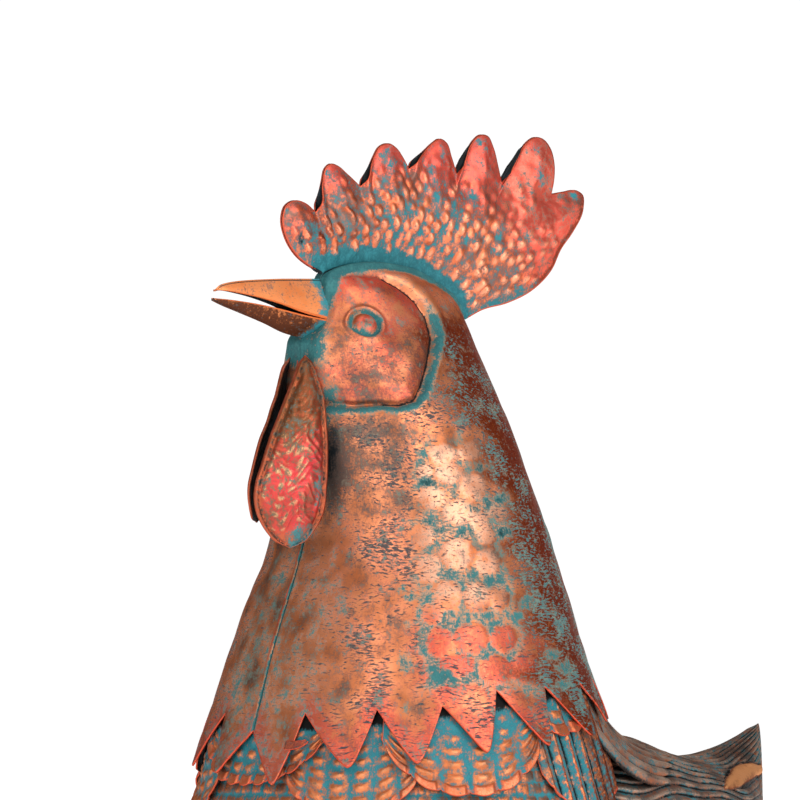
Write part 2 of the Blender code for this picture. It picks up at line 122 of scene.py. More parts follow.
def press(name, points, facing, material, nodes, marks, uv, wall=None):
    """One pressed piece from a grid of points in mm, rows by columns.

    facing points outwards, marks are fields by name for the material, uv is in mm along the metal, and
    wall is a sheet's thickness, whose inner face is bare steel. Points that meet at a seam or a pole are
    merged."""
    rows, columns = points.shape[:2]
    index = np.arange(rows * columns).reshape(rows, columns)
    quads = stacked(index[:-1, :-1], index[:-1, 1:], index[1:, 1:], index[1:, :-1])
    quads = quads.reshape(-1, 4)
    flat = points.reshape(-1, 3) * MM
    hint = np.broadcast_to(facing, points.shape).reshape(-1, 3)
    turned = np.cross(flat[quads[:, 2]] - flat[quads[:, 0]], flat[quads[:, 3]] - flat[quads[:, 1]])
    if np.sum(turned * hint[quads[:, 0]]) < 0:
        quads = quads[:, ::-1]
    mesh = bpy.data.meshes.new(name)
    mesh.from_pydata(flat.tolist(), [], quads.tolist())
    for title, field in marks.items():
        layer = mesh.attributes.new(title, "FLOAT", "POINT")
        field = np.broadcast_to(field, (rows, columns)).astype(np.float32)
        layer.data.foreach_set("value", field.ravel())
    corner = np.zeros(len(mesh.loops), dtype=np.int32)
    mesh.loops.foreach_get("vertex_index", corner)
    layer = mesh.uv_layers.new(name="mm_by_100")
    layer.data.foreach_set("uv", (uv.reshape(-1, 2)[corner] / 100).astype(np.float32).ravel())
    joined = bmesh.new()
    joined.from_mesh(mesh)
    bmesh.ops.remove_doubles(joined, verts=joined.verts, dist=2e-6)
    joined.to_mesh(mesh)
    joined.free()
    mesh.shade_smooth()
    mesh.materials.append(material)
    piece = bpy.data.objects.new(name, mesh)
    bpy.context.scene.collection.objects.link(piece)
    if wall:
        sheet = piece.modifiers.new("sheet", "SOLIDIFY")
        sheet.thickness = wall * MM
        sheet.offset = -1
        sheet.material_offset = 1
        mesh.materials.append(bare_steel_and_shade)
    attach(piece, "root")
    if nodes:
        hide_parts(*nodes)


def linear(hex_colour):
    """sRGB hex to the linear colour that a shader takes."""
    parts = np.array([int(hex_colour[k : k + 2], 16) / 255 for k in (1, 3, 5)])
    parts = np.where(parts <= 0.04045, parts / 12.92, ((parts + 0.055) / 1.055) ** 2.4)
    return (*parts.tolist(), 1)


def add(tree, kind, wires=None, out=0, **settings):
    """Adds a node and gives one of its outputs. settings are its properties, wires its inputs.

    An input is another node's output, a number or a hex colour."""
    node = tree.nodes.new("ShaderNode" + kind)
    for key, value in settings.items():
        setattr(node, key, value)
    for key, value in (wires or {}).items():
        if isinstance(value, bpy.types.NodeSocket):
            tree.links.new(value, node.inputs[key])
        else:
            node.inputs[key].default_value = linear(value) if isinstance(value, str) else value
    return node.outputs[out]


def noise(tree, where, scale, detail, roughness=0.5, distortion=0):
    wires = {"Vector": where, "Scale": scale, "Detail": detail, "Roughness": roughness}
    return add(tree, "TexNoise", {**wires, "Distortion": distortion})


def ramp(tree, value, low, high, first=0, last=1, **settings):
    """Maps low to first and high to last."""
    return add(tree, "MapRange", {0: value, 1: low, 2: high, 3: first, 4: last}, **settings)


def maths(tree, operation, *values):
    return add(tree, "Math", dict(enumerate(values)), operation=operation)


def mix(tree, share, under, over):
    return add(tree, "Mix", {0: share, 6: under, 7: over}, out=2, data_type="RGBA")


CLOUD = 15  # mm, size of the slow drift in every finish
DUST = 0.9  # mm, size of the finest flecks
STROKE = (2.4, 0.8)  # mm, length and spacing of the dark brush marks
WIPE = (0.8, 9)  # mm, spacing and length of the streaks left by the cloth
EDGE_TINT = "#9A8478"  # keeps the lacquer from whitening at a grazing angle


def patinated_copper(name, colours, wash=5, rough=0.42, metal=0.8, dent=0.15):
    """Copper lacquer on pressed sheet with a teal wash, left in the low places and wiped off the rest.

    The marks on the mesh say where each finish lies: its level is the mark plus noise, and it covers
    where the level passes a limit, so its edge breaks into flecks. wash is the size of the blots in mm,
    dent the depth of the surface's grain in mm."""
    material = bpy.data.materials.new(name)
    material.use_nodes = True
    tree = material.node_tree
    shader = tree.nodes["Principled BSDF"]
    place = add(tree, "TexCoord", out="Object")
    clouds = noise(tree, place, 1000 / CLOUD, 2)
    cloud = ramp(tree, clouds, 0.3, 0.7, -1, 1, clamp=False)
    blots = noise(tree, place, 1000 / wash, 5, 0.72)
    blot = ramp(tree, blots, 0.3, 0.7, clamp=False)
    dust = noise(tree, place, 1000 / DUST, 2, 0.6)

    # Brush marks and wiping streaks follow the metal, a little bent by the clouds
    bend = add(tree, "VectorMath", {0: clouds.node.outputs["Color"], "Scale": 0.05}, operation="SCALE")
    laid = add(tree, "VectorMath", {0: add(tree, "UVMap"), 1: bend}, operation="ADD")
    brushed, wiped = (
        add(tree, "VectorMath", {0: laid, 1: (100 / size[0], 100 / size[1], 1)}, operation="MULTIPLY")
        for size in (STROKE, WIPE)
    )
    strokes = noise(tree, brushed, 1, 2, distortion=0.6)
    hatch = noise(tree, wiped, 1, 3, 0.7)
    grit = ramp(tree, dust, 0.3, 0.7, -0.22, 0.22, clamp=False)
    scratched = ramp(tree, hatch, 0.35, 0.65, -0.12, 0.12, clamp=False)
    broken = maths(tree, "ADD", blot, maths(tree, "ADD", grit, scratched))

    cover = {}
    # painted_shade is near-black painted shade: shadow under overhangs and darkness in grooves, dimples and
    # gaps
    for mark, clouded, grain, soft in (
        ("teal", 0.16, 1, 0.42), ("red", 0.25, 1, 0.5), ("pale", 0.1, 0.8, 0.4),
        ("smoke_and_shade", -0.35, 1, 0.45), ("rear", 0.15, 1, 0.4), ("painted_shade", 0, 0.6, 0.3),
        ("rim", 0, 0.35, 0.2),
    ):
        field = add(tree, "Attribute", out="Fac", attribute_name=mark)
        uneven = maths(tree, "MULTIPLY_ADD", cloud, clouded, field)
        level = maths(tree, "MULTIPLY_ADD", broken, grain, uneven)
        limit = 0.5 + 0.5 * grain
        cover[mark] = ramp(tree, level, limit - soft, limit + soft, interpolation_type="SMOOTHSTEP")
    marked = add(tree, "Attribute", out="Fac", attribute_name="strokes")
    thicker = ramp(tree, cloud, -0.9, 0.9, 0.02, 0.21)
    limit = maths(tree, "MULTIPLY_ADD", marked, thicker, 0.24)
    cover["ink"] = ramp(tree, strokes, limit, maths(tree, "ADD", limit, 0.1), 0.95, 0)

    # Copper streaked by the cloth at the bottom, then each finish over it, thin teal greyer than thick
    streaks = ramp(tree, maths(tree, "MULTIPLY_ADD", hatch, 0.5, cloud), -0.75, 1.25)
    colour = mix(tree, streaks, colours["copper"], colours["bright"])
    thick_teal = mix(tree, ramp(tree, broken, 0.35, 1.1), colours["teal"], colours["pale_teal"])
    tops = {
        **colours,
        "ink": mix(tree, cover["rear"], colours["ink"], colours["rear_ink"]),
        "teal": mix(tree, ramp(tree, cover["teal"], 0.4, 1), colours["slate"], thick_teal),
    }
    for finish in ("red", "pale", "smoke_and_shade", "rear", "ink", "teal", "painted_shade", "rim"):
        colour = mix(tree, cover[finish], colour, tops[finish])

    # Paint is dull and rough, lacquered copper bright, and the ink lies a little low
    dull = maths(tree, "MAXIMUM", maths(tree, "MAXIMUM", cover["teal"], cover["ink"]), cover["painted_shade"])
    grain = maths(tree, "MULTIPLY_ADD", blots, 0.18, rough - 0.09)
    low = maths(tree, "MULTIPLY_ADD", cover["ink"], -0.7, blots)
    height = maths(tree, "MULTIPLY_ADD", dust, 0.3, low)
    for socket, value in (
        ("Base Color", colour),
        ("Metallic", ramp(tree, dull, 0, 1, metal, 0.08)),
        ("Roughness", maths(tree, "MULTIPLY_ADD", dull, 0.18, grain)),
        ("Normal", add(tree, "Bump", {"Height": height, "Strength": 0.5, "Distance": dent * MM})),
    ):
        tree.links.new(value, shader.inputs[socket])
    shader.inputs["Specular Tint"].default_value = linear(EDGE_TINT)
    return material


# Bare steel inside every sheet, made nearly black as painted shade inside the sheets, with a little grey
# where it is scuffed
bare_steel_and_shade = bpy.data.materials.new("bare steel in painted shade")
bare_steel_and_shade.use_nodes = True
steel_tree = bare_steel_and_shade.node_tree
steel_shader = steel_tree.nodes["Principled BSDF"]
scuffs = noise(steel_tree, add(steel_tree, "TexCoord", out="Object"), 1000 / 4, 4)
steel_colour = mix(steel_tree, ramp(steel_tree, scuffs, 0.4, 0.75), "#0C0F10", "#25333A")
steel_tree.links.new(steel_colour, steel_shader.inputs["Base Color"])
steel_shader.inputs["Metallic"].default_value = 0.3
steel_shader.inputs["Roughness"].default_value = 0.7

# Teal wash over copper lacquer: the eye sees a blue-green ground with bright copper on the high spots
BODY_COLOURS = dict(
    copper="#C06A40", bright="#E8905E", red="#D8583C", pale="#E8B080", rear="#6B3424", smoke_and_shade="#6A5A50",
    ink="#4A5A60", rear_ink="#3E6E72", teal="#26707C", pale_teal="#38868F", slate="#5E6260",
    painted_shade="#0A1012", rim="#CC5A40",
)
body_metal = patinated_copper("teal patina over copper", BODY_COLOURS, wash=4, rough=0.45)


def feather_rows(across, down, width, height):
    """Rows of pressed round-topped feathers, every other row shifted by half: 0 in the joints, 1 on top.

    across and down are in mm, down growing towards the feathers' tips."""
    row = np.floor(down / height)
    shifted = across / width + 0.5 * np.mod(row, 2)
    side = np.abs(2 * np.mod(shifted, 1) - 1)
    level = np.mod(down / height, 1)
    return ease(1 - side**2.2, 0.05, 0.6) * ease(level, 0, 0.35) * fade(level, 0.82, 1)


def shoulder_radius(height):
    return neck_section(height)[2] - SHEET - HEM_GAP - 2.4 * fade(height, 2, 44)


def around_the_shoulders(turn, height, lift, side=1):
    """A point of the shoulders' cone: turn in radians from the beak, lift off the metal in mm."""
    radius = shoulder_radius(height) + lift
    return stacked(-radius * np.cos(turn), side * radius * np.sin(turn), height + 0.3 * lift)


def hem_notch(turn):
    """Height in mm of the line through the hem's notches, which rises from the beak to the rear."""
    return 55.5 - 10.8 * np.cos(turn)


GIRTH = 84  # mm of metal for a radian round the shoulders
turn, level = np.meshgrid(np.linspace(-math.pi, math.pi, 481), np.linspace(SHOULDER_TOP, 0, 74))
pressed = feather_rows(turn * GIRTH, 72 - level, 6.6, 5.2) * ease(level, 1, 3)
skin = around_the_shoulders(turn, level, 0.7 * pressed)
skin[..., 2] = np.where(level > 0, np.minimum(skin[..., 2], SHOULDER_TOP), 0)
away = stacked(-np.cos(turn), np.sin(turn), 0 * turn)
centre_top = np.broadcast_to([0, 0, SHOULDER_TOP], skin[:1].shape)
pressed = np.pad(pressed, ((1, 1), (0, 0)))
# Painted shadow: near black just under the hem's notches, where the hem hangs over the shoulders
hem_shadow = 1.2 * ease(level, hem_notch(turn) - 5.5, hem_notch(turn) - 1.5)
press(
    "shoulders_sheet", np.concatenate([centre_top, skin, np.zeros_like(skin[:1])]),
    np.concatenate([away[:1], away, away[:1]]), body_metal, ("shoulders",),
    {
        "teal": 0.95 - 0.7 * pressed, "red": 0.25 * pressed, "smoke_and_shade": 0.45,
        "painted_shade": np.pad(hem_shadow, ((1, 1), (0, 0))),
    },
    np.pad(stacked(turn * GIRTH, level), ((1, 1), (0, 0), (0, 0)), mode="edge"),
)

# Back.
# The saddle behind the neck, one pressed sheet with long narrow feathers in fine overlapping ridges.
# Grey-brown where the lacquer is thin, with teal between the ridges. Its end is cut to a point.

BACK_STATIONS = np.array([  # distance behind the neck's axis, height of the ridge, half width, mm
    (52, 37, 60), (84, 38, 61), (100, 36.6, 59.5), (115, 32.6, 57), (128, 29.6, 54),
    (142, 27.4, 48.5), (155, 28.2, 38), (167, 31, 25.5), (178, 35.6, 13), (188, 41.4, 3),
])
BACK_COLOURS = dict(
    copper="#96543A", bright="#B47656", red="#B4562C", pale="#BCA898", rear="#5A4038", smoke_and_shade="#64544C",
    ink="#3C4A4C", rear_ink="#2F5C60", teal="#2A7480", pale_teal="#3F8E98", slate="#4A5C60",
    painted_shade="#100E0E", rim="#E8A470",
)
# Brown copper with teal recesses: the eye sees dull grey-brown ridges with dark, bluish lines between, teal
# with painted shade in them
back_metal = patinated_copper("brown copper with teal recesses", BACK_COLOURS, wash=4, rough=0.5)


def back_surface(x, share, lift):
    """The back's skin: share runs from -1 at the right rim over the ridge to 1 at the left rim."""
    height, half = look_up(BACK_STATIONS, x)
    angle = share * math.pi / 2
    normal_y, normal_z = -np.sin(angle) * height, np.cos(angle) * half
    size = np.hypot(normal_y, normal_z)
    y = -half * np.sin(angle) + lift * normal_y / size
    z = height * np.cos(angle) ** 0.9 + lift * normal_z / size
    return stacked(x, y, np.maximum(z, 0))


LEAF = np.array([  # station in mm, then the middle and half width as shares of the way from ridge to rim
    (56, 0.72, 0.005), (125, 0.69, 0.006), (133, 0.625, 0.05), (140, 0.57, 0.075),
    (158, 0.49, 0.11), (170, 0.526, 0.085), (178, 0.59, 0.055), (188, 0.65, 0.03),
])
STRANDS = 15  # long feathers side by side from the ridge to a rim
share, station = np.meshgrid(np.linspace(-0.999, 0.999, 331), np.linspace(56, 188, 200))
wander = 0.45 * np.sin(station * 0.07) + 0.25 * np.sin(station * 0.19 + 4 * share)
strand = np.mod(np.abs(share) * STRANDS + wander, 1)
strand = ease(strand, 0, 0.75) * fade(strand, 0.86, 1)
leaf_middle, leaf_half = look_up(LEAF, station)
leaf_off = (np.abs(share) - leaf_middle) / leaf_half
leaf = fade(np.abs(leaf_off), 0.75, 1) * ease(station, 125, 129)
leaf_edge_shade = bell(np.abs(leaf_off) - 1.05, 0.22) * ease(leaf_half, 0.01, 0.05)
# The leaf's gold: its own colour, full down the middle as a painted highlight and broken towards the edges
leaf_shine = leaf * (0.74 + 0.07 * np.sin(6 * leaf_off + 0.2 * station) - 0.34 * leaf_off**2)
strand = strand * fade(leaf, 0.1, 0.5)
lift = (1.1 * strand + 2 * leaf * (1 - 0.5 * leaf_off**2)) * ease(188 - station, 0, 6)
skin = back_surface(station, share, lift)
floor_line = skin[:, ::-22].copy()
floor_line[..., 2] = 0
loop = np.concatenate([skin, floor_line, skin[:, :1]], axis=1)
ends = [np.broadcast_to(loop[k].mean(axis=0), loop[k].shape)[None] for k in (0, -1)]
loop = np.concatenate([ends[0], loop, ends[1]])
inside = np.array([120, 0, 8])  # mm, a point in the solid, which the faces look away from
strand, leaf, leaf_edge_shade, leaf_shine = (
    np.pad(np.concatenate([part, 0 * part[:, ::-22], part[:, :1]], axis=1), ((1, 1), (0, 0)), mode="edge")
    for part in (strand, leaf, leaf_edge_shade, leaf_shine)
)
press(
    "back_sheet", loop, loop - inside, back_metal, ("back", "saddle_feathers"),
    {
        "teal": 0.75 - 0.65 * strand - leaf, "pale": 0.34 + 0.5 * strand**3 - leaf,
        # Painted shade: near black in the grooves between the strands and along the leaf's edges
        "painted_shade": np.maximum(0.8 * (1 - strand) ** 3, 0.8 * leaf_edge_shade) - leaf,
        "rim": leaf_shine, "smoke_and_shade": 0.55 - leaf,
    },
    stacked(loop[..., 0], loop[..., 1] * 1.4),
)

# Feather plates on the shoulders.
# Thin pressed sheets laid over each other under the hem, each with rows of small feathers and a scalloped
# edge. Teal wash, with copper rubbed bright on the feathers and along the cut edge.

PLATE_AIR = 0.6  # mm under a plate


def lay_plate(name, turn, height, lift, side, nodes, marks):
    """Presses a plate that lies round the shoulders, lift mm off them."""
    press(
        name + "_sheet", around_the_shoulders(turn, height, lift, side),
        stacked(-np.cos(turn), side * np.sin(turn), 0 * turn), body_metal, nodes,
        marks, stacked(turn * GIRTH, height), SHEET,
    )


def shoulder_plate(name, middle, half_turn, low, layer, lobes, rows, side, ends=30, nodes=None):
    """A plate with small feathers: middle and half_turn are in degrees from the beak.

    Its cut edge runs from the height low in the middle up to ends, in lobes."""
    u, v = np.meshgrid(np.linspace(0, 1, 22 * lobes + 1), np.linspace(0, 1, 76))
    across = 2 * u - 1
    turn = np.radians(middle + half_turn * across)
    notch = hem_notch(turn)
    scallop = np.abs(np.sin(math.pi * lobes * u)) ** 0.7
    bottom = low + (ends - low) * np.abs(across) ** 2.6 + 1.6 - 2 * scallop
    height = bottom + (notch + 4 - bottom) * (1 - v)
    row = np.floor(v * rows)
    phase = np.mod(lobes * u, 1)
    level = np.mod(v * rows, 1)
    shown = ease(row / rows, 0.1, 0.55)
    wide, tall = 0.2 + 0.13 * row / rows, 0.22 + 0.1 * row / rows
    top = bell(phase - 0.5, wide, 3) * bell(level - 0.55, tall, 3) * shown
    last = ease(v, 1 - 0.9 / rows, 1 - 0.7 / rows)
    top = np.maximum(top, last * ease(scallop, 0.35, 0.75))
    edge = fade((1 - v) * (height.max() - height.min()), 0.2, 0.8) + ease(np.abs(across), 0.99, 0.997)
    lift = PLATE_AIR + layer * (SHEET + PLATE_AIR) + SHEET + top + 1.2 * ease(v, 0.8, 1)
    lay_plate(name, turn, height, lift, side, (name,) if nodes is None else nodes, {
        "teal": 0.9 - 0.95 * top - 0.25 * ease(v, 0.5, 0.9) * ease(phase, 0.05, 0.2),
        "red": 0.2 + 0.5 * last, "pale": 0.35 * top, "smoke_and_shade": 0.05,
        # Painted shadow under the hem, near black just below its notches
        "painted_shade": 1.2 * ease(height, notch - 8, notch - 1.5), "rim": 0.9 * edge,
    })


shoulder_plate("breast_feather", 0, 25, 17.4, 1, 9, 6, -1, ends=34)
for side, word in SIDES:
    shoulder_plate("side_feather_" + word, 33, 20, 5, 0, 6, 9, side, ends=22)
    shoulder_plate("shoulder_fan_" + word, 66, 24, 13.4, 1, 6, 8, side, ends=34)
    shoulder_plate("shoulder_tab_" + word, 99, 12, 37.2, 1, 3, 4, side, ends=44, nodes=())

# Long feathers behind the shoulder fans: one sheet each side with raised ribs, copper on the ribs
RIBS = 7
for side, word in SIDES:
    u, v = np.meshgrid(np.linspace(0, 1, 181), np.linspace(0, 1, 70))
    across = 2 * u - 1
    turn = np.radians(106 + 22 * across + 6 * v)
    notch = hem_notch(turn)
    wave = np.abs(np.sin(math.pi * RIBS * u))
    bottom = 6.6 + 0.55 * 29 * np.abs(across) ** 2.5 - 1.5 * wave
    height = bottom + (notch + 4 - bottom) * (1 - v)
    rib = wave**0.8
    off_quill = np.abs(np.mod(RIBS * u, 1) - 0.5)
    quill = bell(off_quill, 0.09)
    barbs = 0.5 + 0.5 * np.sin(height * 2.6 + 9 * off_quill)
    to_rear = ease(turn, 1.85, 2.05)
    name = "back_feathers_" + word
    lay_plate(name, turn, height, PLATE_AIR + SHEET + 1.3 * rib + 0.5 * quill, side, (name,), {
        "teal": 0.9 - 0.85 * quill - 0.35 * rib * barbs - 0.35 * to_rear,
        "rim": 1.1 * (ease(v, 0.975, 0.99) + ease(np.abs(across), 0.98, 0.995)),
        # Painted shade: dark between the ribs and under the hem
        "painted_shade": np.maximum((1 - rib) ** 2, 1.2 * ease(height, notch - 8, notch - 1.5)),
        "red": 0.2 + 0.2 * quill, "smoke_and_shade": 0.5, "rear": 0.3 + 0.4 * to_rear,
    })

# Hackle strands.
# A narrow bunch of long feathers each side, one pressed sheet from under the hem's rear onto the back.
# Grey-brown like the back, soldered on at its upper end.

PLUMES = 8
for side, word in SIDES:
    u, v = np.meshgrid(np.linspace(0, 1, 121), np.linspace(0, 1, 60))
    plume = np.mod(PLUMES * u, 1)
    root_turn = np.radians(112 + 42 * u)
    root = around_the_shoulders(root_turn, 55 + 4 * u, 2, -1)
    tip = back_surface(90 + 34 * u - 13 * np.abs(plume - 0.5), 0.74 - 0.55 * u, 1)
    knee = around_the_shoulders(root_turn + np.radians(14), tip[..., 2] + 3, 2.6, -1)
    down = v[..., None]
    line = (1 - down) ** 2 * root + 2 * down * (1 - down) * knee + down**2 * tip
    reach = np.hypot(line[..., 0], line[..., 1])
    line[..., :2] *= np.maximum(1, (shoulder_radius(line[..., 2]) + 1.6) / reach)[..., None]

    # It lies on the back behind x 60 mm, and stands off it by no more than stands near the neck
    x, y, z = np.moveaxis(line, -1, 0)
    back_share = np.arcsin(np.clip(np.abs(y) / look_up(BACK_STATIONS, x)[1], 0, 1)) / (math.pi / 2)
    lying = back_surface(x, back_share, 0)[..., 2] + 1.3 - 0.9 * ease(v, 0.7, 1)
    stands = 30 * fade(x, 70, 96) + 30 * fade(u, 0.35, 0.7)
    line[..., 2] = np.minimum(np.maximum(z, np.where(x > 60, lying, 0)), lying + stands)
    ridge = ease(plume, 0, 0.6) * fade(plume, 0.85, 1)
    points = line + outward_normals(line, np.array([0.6, -0.6, 0.5])) * (0.9 * ridge)[..., None]
    points[..., 1] *= -side
    press(
        "hackle_" + word, points, np.array([0.6, 0.6 * side, 0.5]), back_metal, (),
        {
            # Painted shade: dark between the plumes
            "teal": 0.75 - 0.5 * ridge - 0.3 * v, "painted_shade": 0.8 * (1 - ridge) ** 3,
            "pale": 0.2 + 0.6 * ridge**2, "smoke_and_shade": 0.4,
        },
        stacked(u * 40, v * 50), 0.5,
    )

# Head and neck.
# Two halves pressed from one sheet each and welded down the throat and the nape. The cheek, the groove
# round it, the eye and the feather marks are pressed in, and the hem is cut into long points.

NECK_COLOURS = dict(
    copper="#BE6C42", bright="#EC9C72", red="#DA5A48", pale="#E2A88A", rear="#8C3A1C", smoke_and_shade="#66544C",
    ink="#394146", rear_ink="#4A7474", teal="#2A6064", pale_teal="#417E7E", slate="#8E9480",
    painted_shade="#0E181C", rim="#D4563E",
)
# Wiped copper lacquer: the eye sees a warm orange sheen crossed by short dark brush marks, red-brown behind
neck_metal = patinated_copper("wiped copper lacquer", NECK_COLOURS)

CHEEK_OUTLINE = np.array([  # across in the three-quarter view and height, mm, clockwise from the beak
    (-48, 214), (-31.3, 217.7), (-28.7, 221.6), (-21.6, 223), (-11.4, 221.8), (-3.2, 217.7),
    (3.9, 211.6), (8, 205.4), (10.3, 197.3), (8.6, 187), (5.6, 177.9), (3, 172.6), (-3.2, 170.6),
    (-11.4, 171), (-21.6, 170.2), (-31.8, 171), (-48, 171),
])
EYE = np.array([-35.3, 14.1, 201])  # mm, on the plain surface of the head
# Degrees from the beak and heights in mm: the hem's notches, then its points
HEM_TURNS = np.array([0, 17.9, 40.2, 59.4, 76.9, 95.3, 115.1, 131.5, 147.8, 164, 180])
HEM_NOTCHES = np.array([39.9, 47.4, 49.1, 50.4, 56.6, 57.9, 59.4, 62, 64.2, 65.8, 66.3])
POINT_TURNS = np.array([11.6, 33.2, 51.8, 71.2, 91.5, 111.8, 130, 145.5, 160, 173.5])
POINT_HEIGHTS = np.array([18.6, 25.6, 27.2, 31.6, 34.2, 37.8, 43, 44, 44.8, 45.2])
TEETH = len(POINT_TURNS)
TOOTH_COLUMNS = 22
BLUNT = 0.13  # share of its half width over which a point is rounded
HEM_TOP = 84  # mm, where the rows start to follow the hem
NECK_GIRTH = 61  # mm of metal for a radian round the neck
# Across in the three-quarter view and height of each mark, then its half length and half height, mm
FEATHER_SPOTS = np.array([
    (14.2, 150.4, 6, 4.8), (24.9, 151.9, 5, 4.2), (16.3, 142.6, 6, 4.2), (26.3, 137.4, 6, 5.4),
    (7, 143.3, 3.2, 3.2), (9.9, 133.3, 6, 4.6), (20.6, 127.2, 6.6, 5), (29.2, 123.3, 4.4, 4.2),
    (36.2, 127, 4.2, 4.6), (6.3, 117.6, 4.6, 4.2), (19.9, 110.6, 7, 6.4), (32, 107.8, 5.2, 5.8),
    (31.3, 117.6, 4.2, 3.6), (8.5, 104.9, 5.2, 5.8), (15.6, 94.2, 6.2, 5.8), (27.8, 93.5, 6.2, 6),
    (36.5, 93.3, 4.4, 5), (9.9, 87, 4.2, 4.2), (25.6, 77, 7.2, 5.8), (38.5, 76.9, 5.2, 5.2),
    (19.9, 66.3, 7, 4.4), (35.6, 64.6, 7, 5.4), (46.8, 64.9, 5.6, 5.8), (12.8, 75.6, 5, 6),
    (39.4, 137.6, 4.2, 5.4), (21, 55, 11, 4),
])
TEAL_SPOTS = np.array([  # the same, and how solid the wash is there
    (-1.3, 67.5, 3.4, 3.8, 1), (0.3, 82.8, 1.6, 1.6, 0.8), (-1.6, 96.6, 2.2, 1.8, 0.9),
    (1.4, 93.6, 2.6, 2, 1), (5.2, 92.9, 2.8, 1.8, 1), (8.7, 94.8, 1.8, 2.2, 0.7),
    (19.4, 102.9, 6, 1.8, 0.75), (14, 62.3, 4.4, 2.4, 0.95), (-1.3, 49.1, 2.6, 4.2, 0.65),
    (20.6, 156.1, 2.2, 3, 0.85), (29.9, 145.1, 4.8, 1.6, 0.95), (8.5, 139, 4.4, 2, 0.9),
    (17, 134.9, 4, 1.8, 0.6), (26.3, 128.9, 3.8, 1.8, 0.85), (32.4, 130.2, 2.2, 2.2, 0.85),
    (38.5, 132.6, 4.4, 2, 0.8), (5.2, 123.4, 5, 2, 0.75), (13.4, 119.8, 4.4, 1.6, 0.7),
    (23.8, 118.5, 4, 2, 0.65), (28.6, 114, 2, 3, 0.65), (38.5, 120, 3.2, 3.4, 0.95),
    (14.9, 103.6, 3.6, 1.8, 0.85), (34.9, 100.2, 5, 2.4, 0.95), (27.8, 100.4, 3.2, 1.6, 0.7),
    (17.8, 85.7, 5.2, 2, 0.6), (25.6, 85.7, 4.4, 1.8, 0.75), (35.2, 85.2, 5.2, 1.8, 0.65),
    (43.5, 85.6, 3.2, 2.2, 0.8), (48, 91.2, 3.6, 3.4, 0.95), (19.6, 72, 3.4, 1.4, 0.65),
    (29.6, 69.6, 2.2, 2, 0.75), (41.5, 70.6, 3.2, 2.4, 0.7), (27, 61.4, 2.4, 2.2, 0.95),
    (20.6, 60.8, 6.6, 1.2, 0.6), (57.8, 70.4, 3.4, 2.6, 0.95), (62.8, 65.4, 3.8, 2.8, 0.95),
    (62, 58.8, 2.8, 2.2, 0.85), (49.9, 56.9, 4, 2.6, 0.75), (43.5, 58.6, 4.4, 2, 0.7),
    (-36.8, 163.8, 7, 2.6, 1), (-30.6, 173.6, 3.6, 6, 0.95),
])
# Darker patches of lacquer, listed like the teal ones; the two long ones at -30 and -29 mm across lie
# beside the near wattle and are its painted shadow on the neck
SMOKE_AND_SHADE_SPOTS = np.array([
    (-44.9, 70.5, 7, 4, 0.6), (-48.7, 58.3, 6, 4, 0.4), (-37.2, 88.9, 5, 4, 0.5),
    (-21.9, 87.7, 3.5, 1.3, 0.9), (-35.7, 100.3, 5, 1.8, 0.6), (-18.1, 72.8, 6, 4.5, 0.4),
    (-25.7, 54.4, 10, 4.5, 0.3), (4.1, 49.1, 3.2, 2.8, 0.75), (-4.3, 84.3, 3.5, 2.2, 0.75),
    (5.6, 65.9, 1.8, 1.8, 0.85), (4.9, 78.2, 2.6, 2.8, 0.6), (-17.1, 159.7, 7, 6, 0.5),
    (-14, 183.6, 10, 6, 0.36), (-20.7, 108.3, 4, 3, 0.55), (-30, 150.4, 3.6, 14, 1.2),
    (-29, 131.6, 4, 9, 0.6), (-5.7, 146.9, 4, 6.5, 0.5), (-39.9, 100.4, 3, 3, 0.4),
    (0.8, 130.4, 3, 4, 0.4), (-11.4, 116.1, 8, 5, 0.25), (24, 162, 3, 3, 0.5),
])


def from_spots(across, height, spots):
    """Distance from each listed ellipse's middle, 1 on the ellipse itself."""
    aside = (across[..., None] - spots[:, 0]) / spots[:, 2]
    return np.hypot(aside, (height[..., None] - spots[:, 1]) / spots[:, 3])


def laid_spots(across, height, spots):
    """Soft ellipses at the listed places, the strongest one counting at each point."""
    return (spots[:, 4] * np.exp(-0.7 * from_spots(across, height, spots) ** 2.6)).max(axis=-1)


def distance_to_outline(x, z, outline):
    """Signed distance in mm from points to a closed outline, negative inside."""
    spots = stacked(x, z)[..., None, :]
    start, end = outline, np.roll(outline, -1, axis=0)
    run = end - start
    share = np.clip(np.sum((spots - start) * run, axis=-1) / np.sum(run**2, axis=-1), 0, 1)
    away = np.linalg.norm(spots - (start + share[..., None] * run), axis=-1).min(axis=-1)
    above = (start[:, 1] > spots[..., 1]) != (end[:, 1] > spots[..., 1])
    rise = np.where(run[:, 1] == 0, 1e-9, run[:, 1])
    crossing = start[:, 0] + (spots[..., 1] - start[:, 1]) / rise * run[:, 0]
    inside = np.mod(np.sum(above & (spots[..., 0] < crossing), axis=-1), 2) == 1
    return np.where(inside, -away, away)


VIEW_COSINE, VIEW_SINE = 0.755, 0.656  # of the 41 degrees between the photo's view and the side view
BALL_RADIUS, MOAT_RADIUS, LID_RADIUS = 4.9, 5.6, 7.7  # mm, the eye's rings
SHORT_POINT = 4.4  # mm by which the right half's first point ends higher


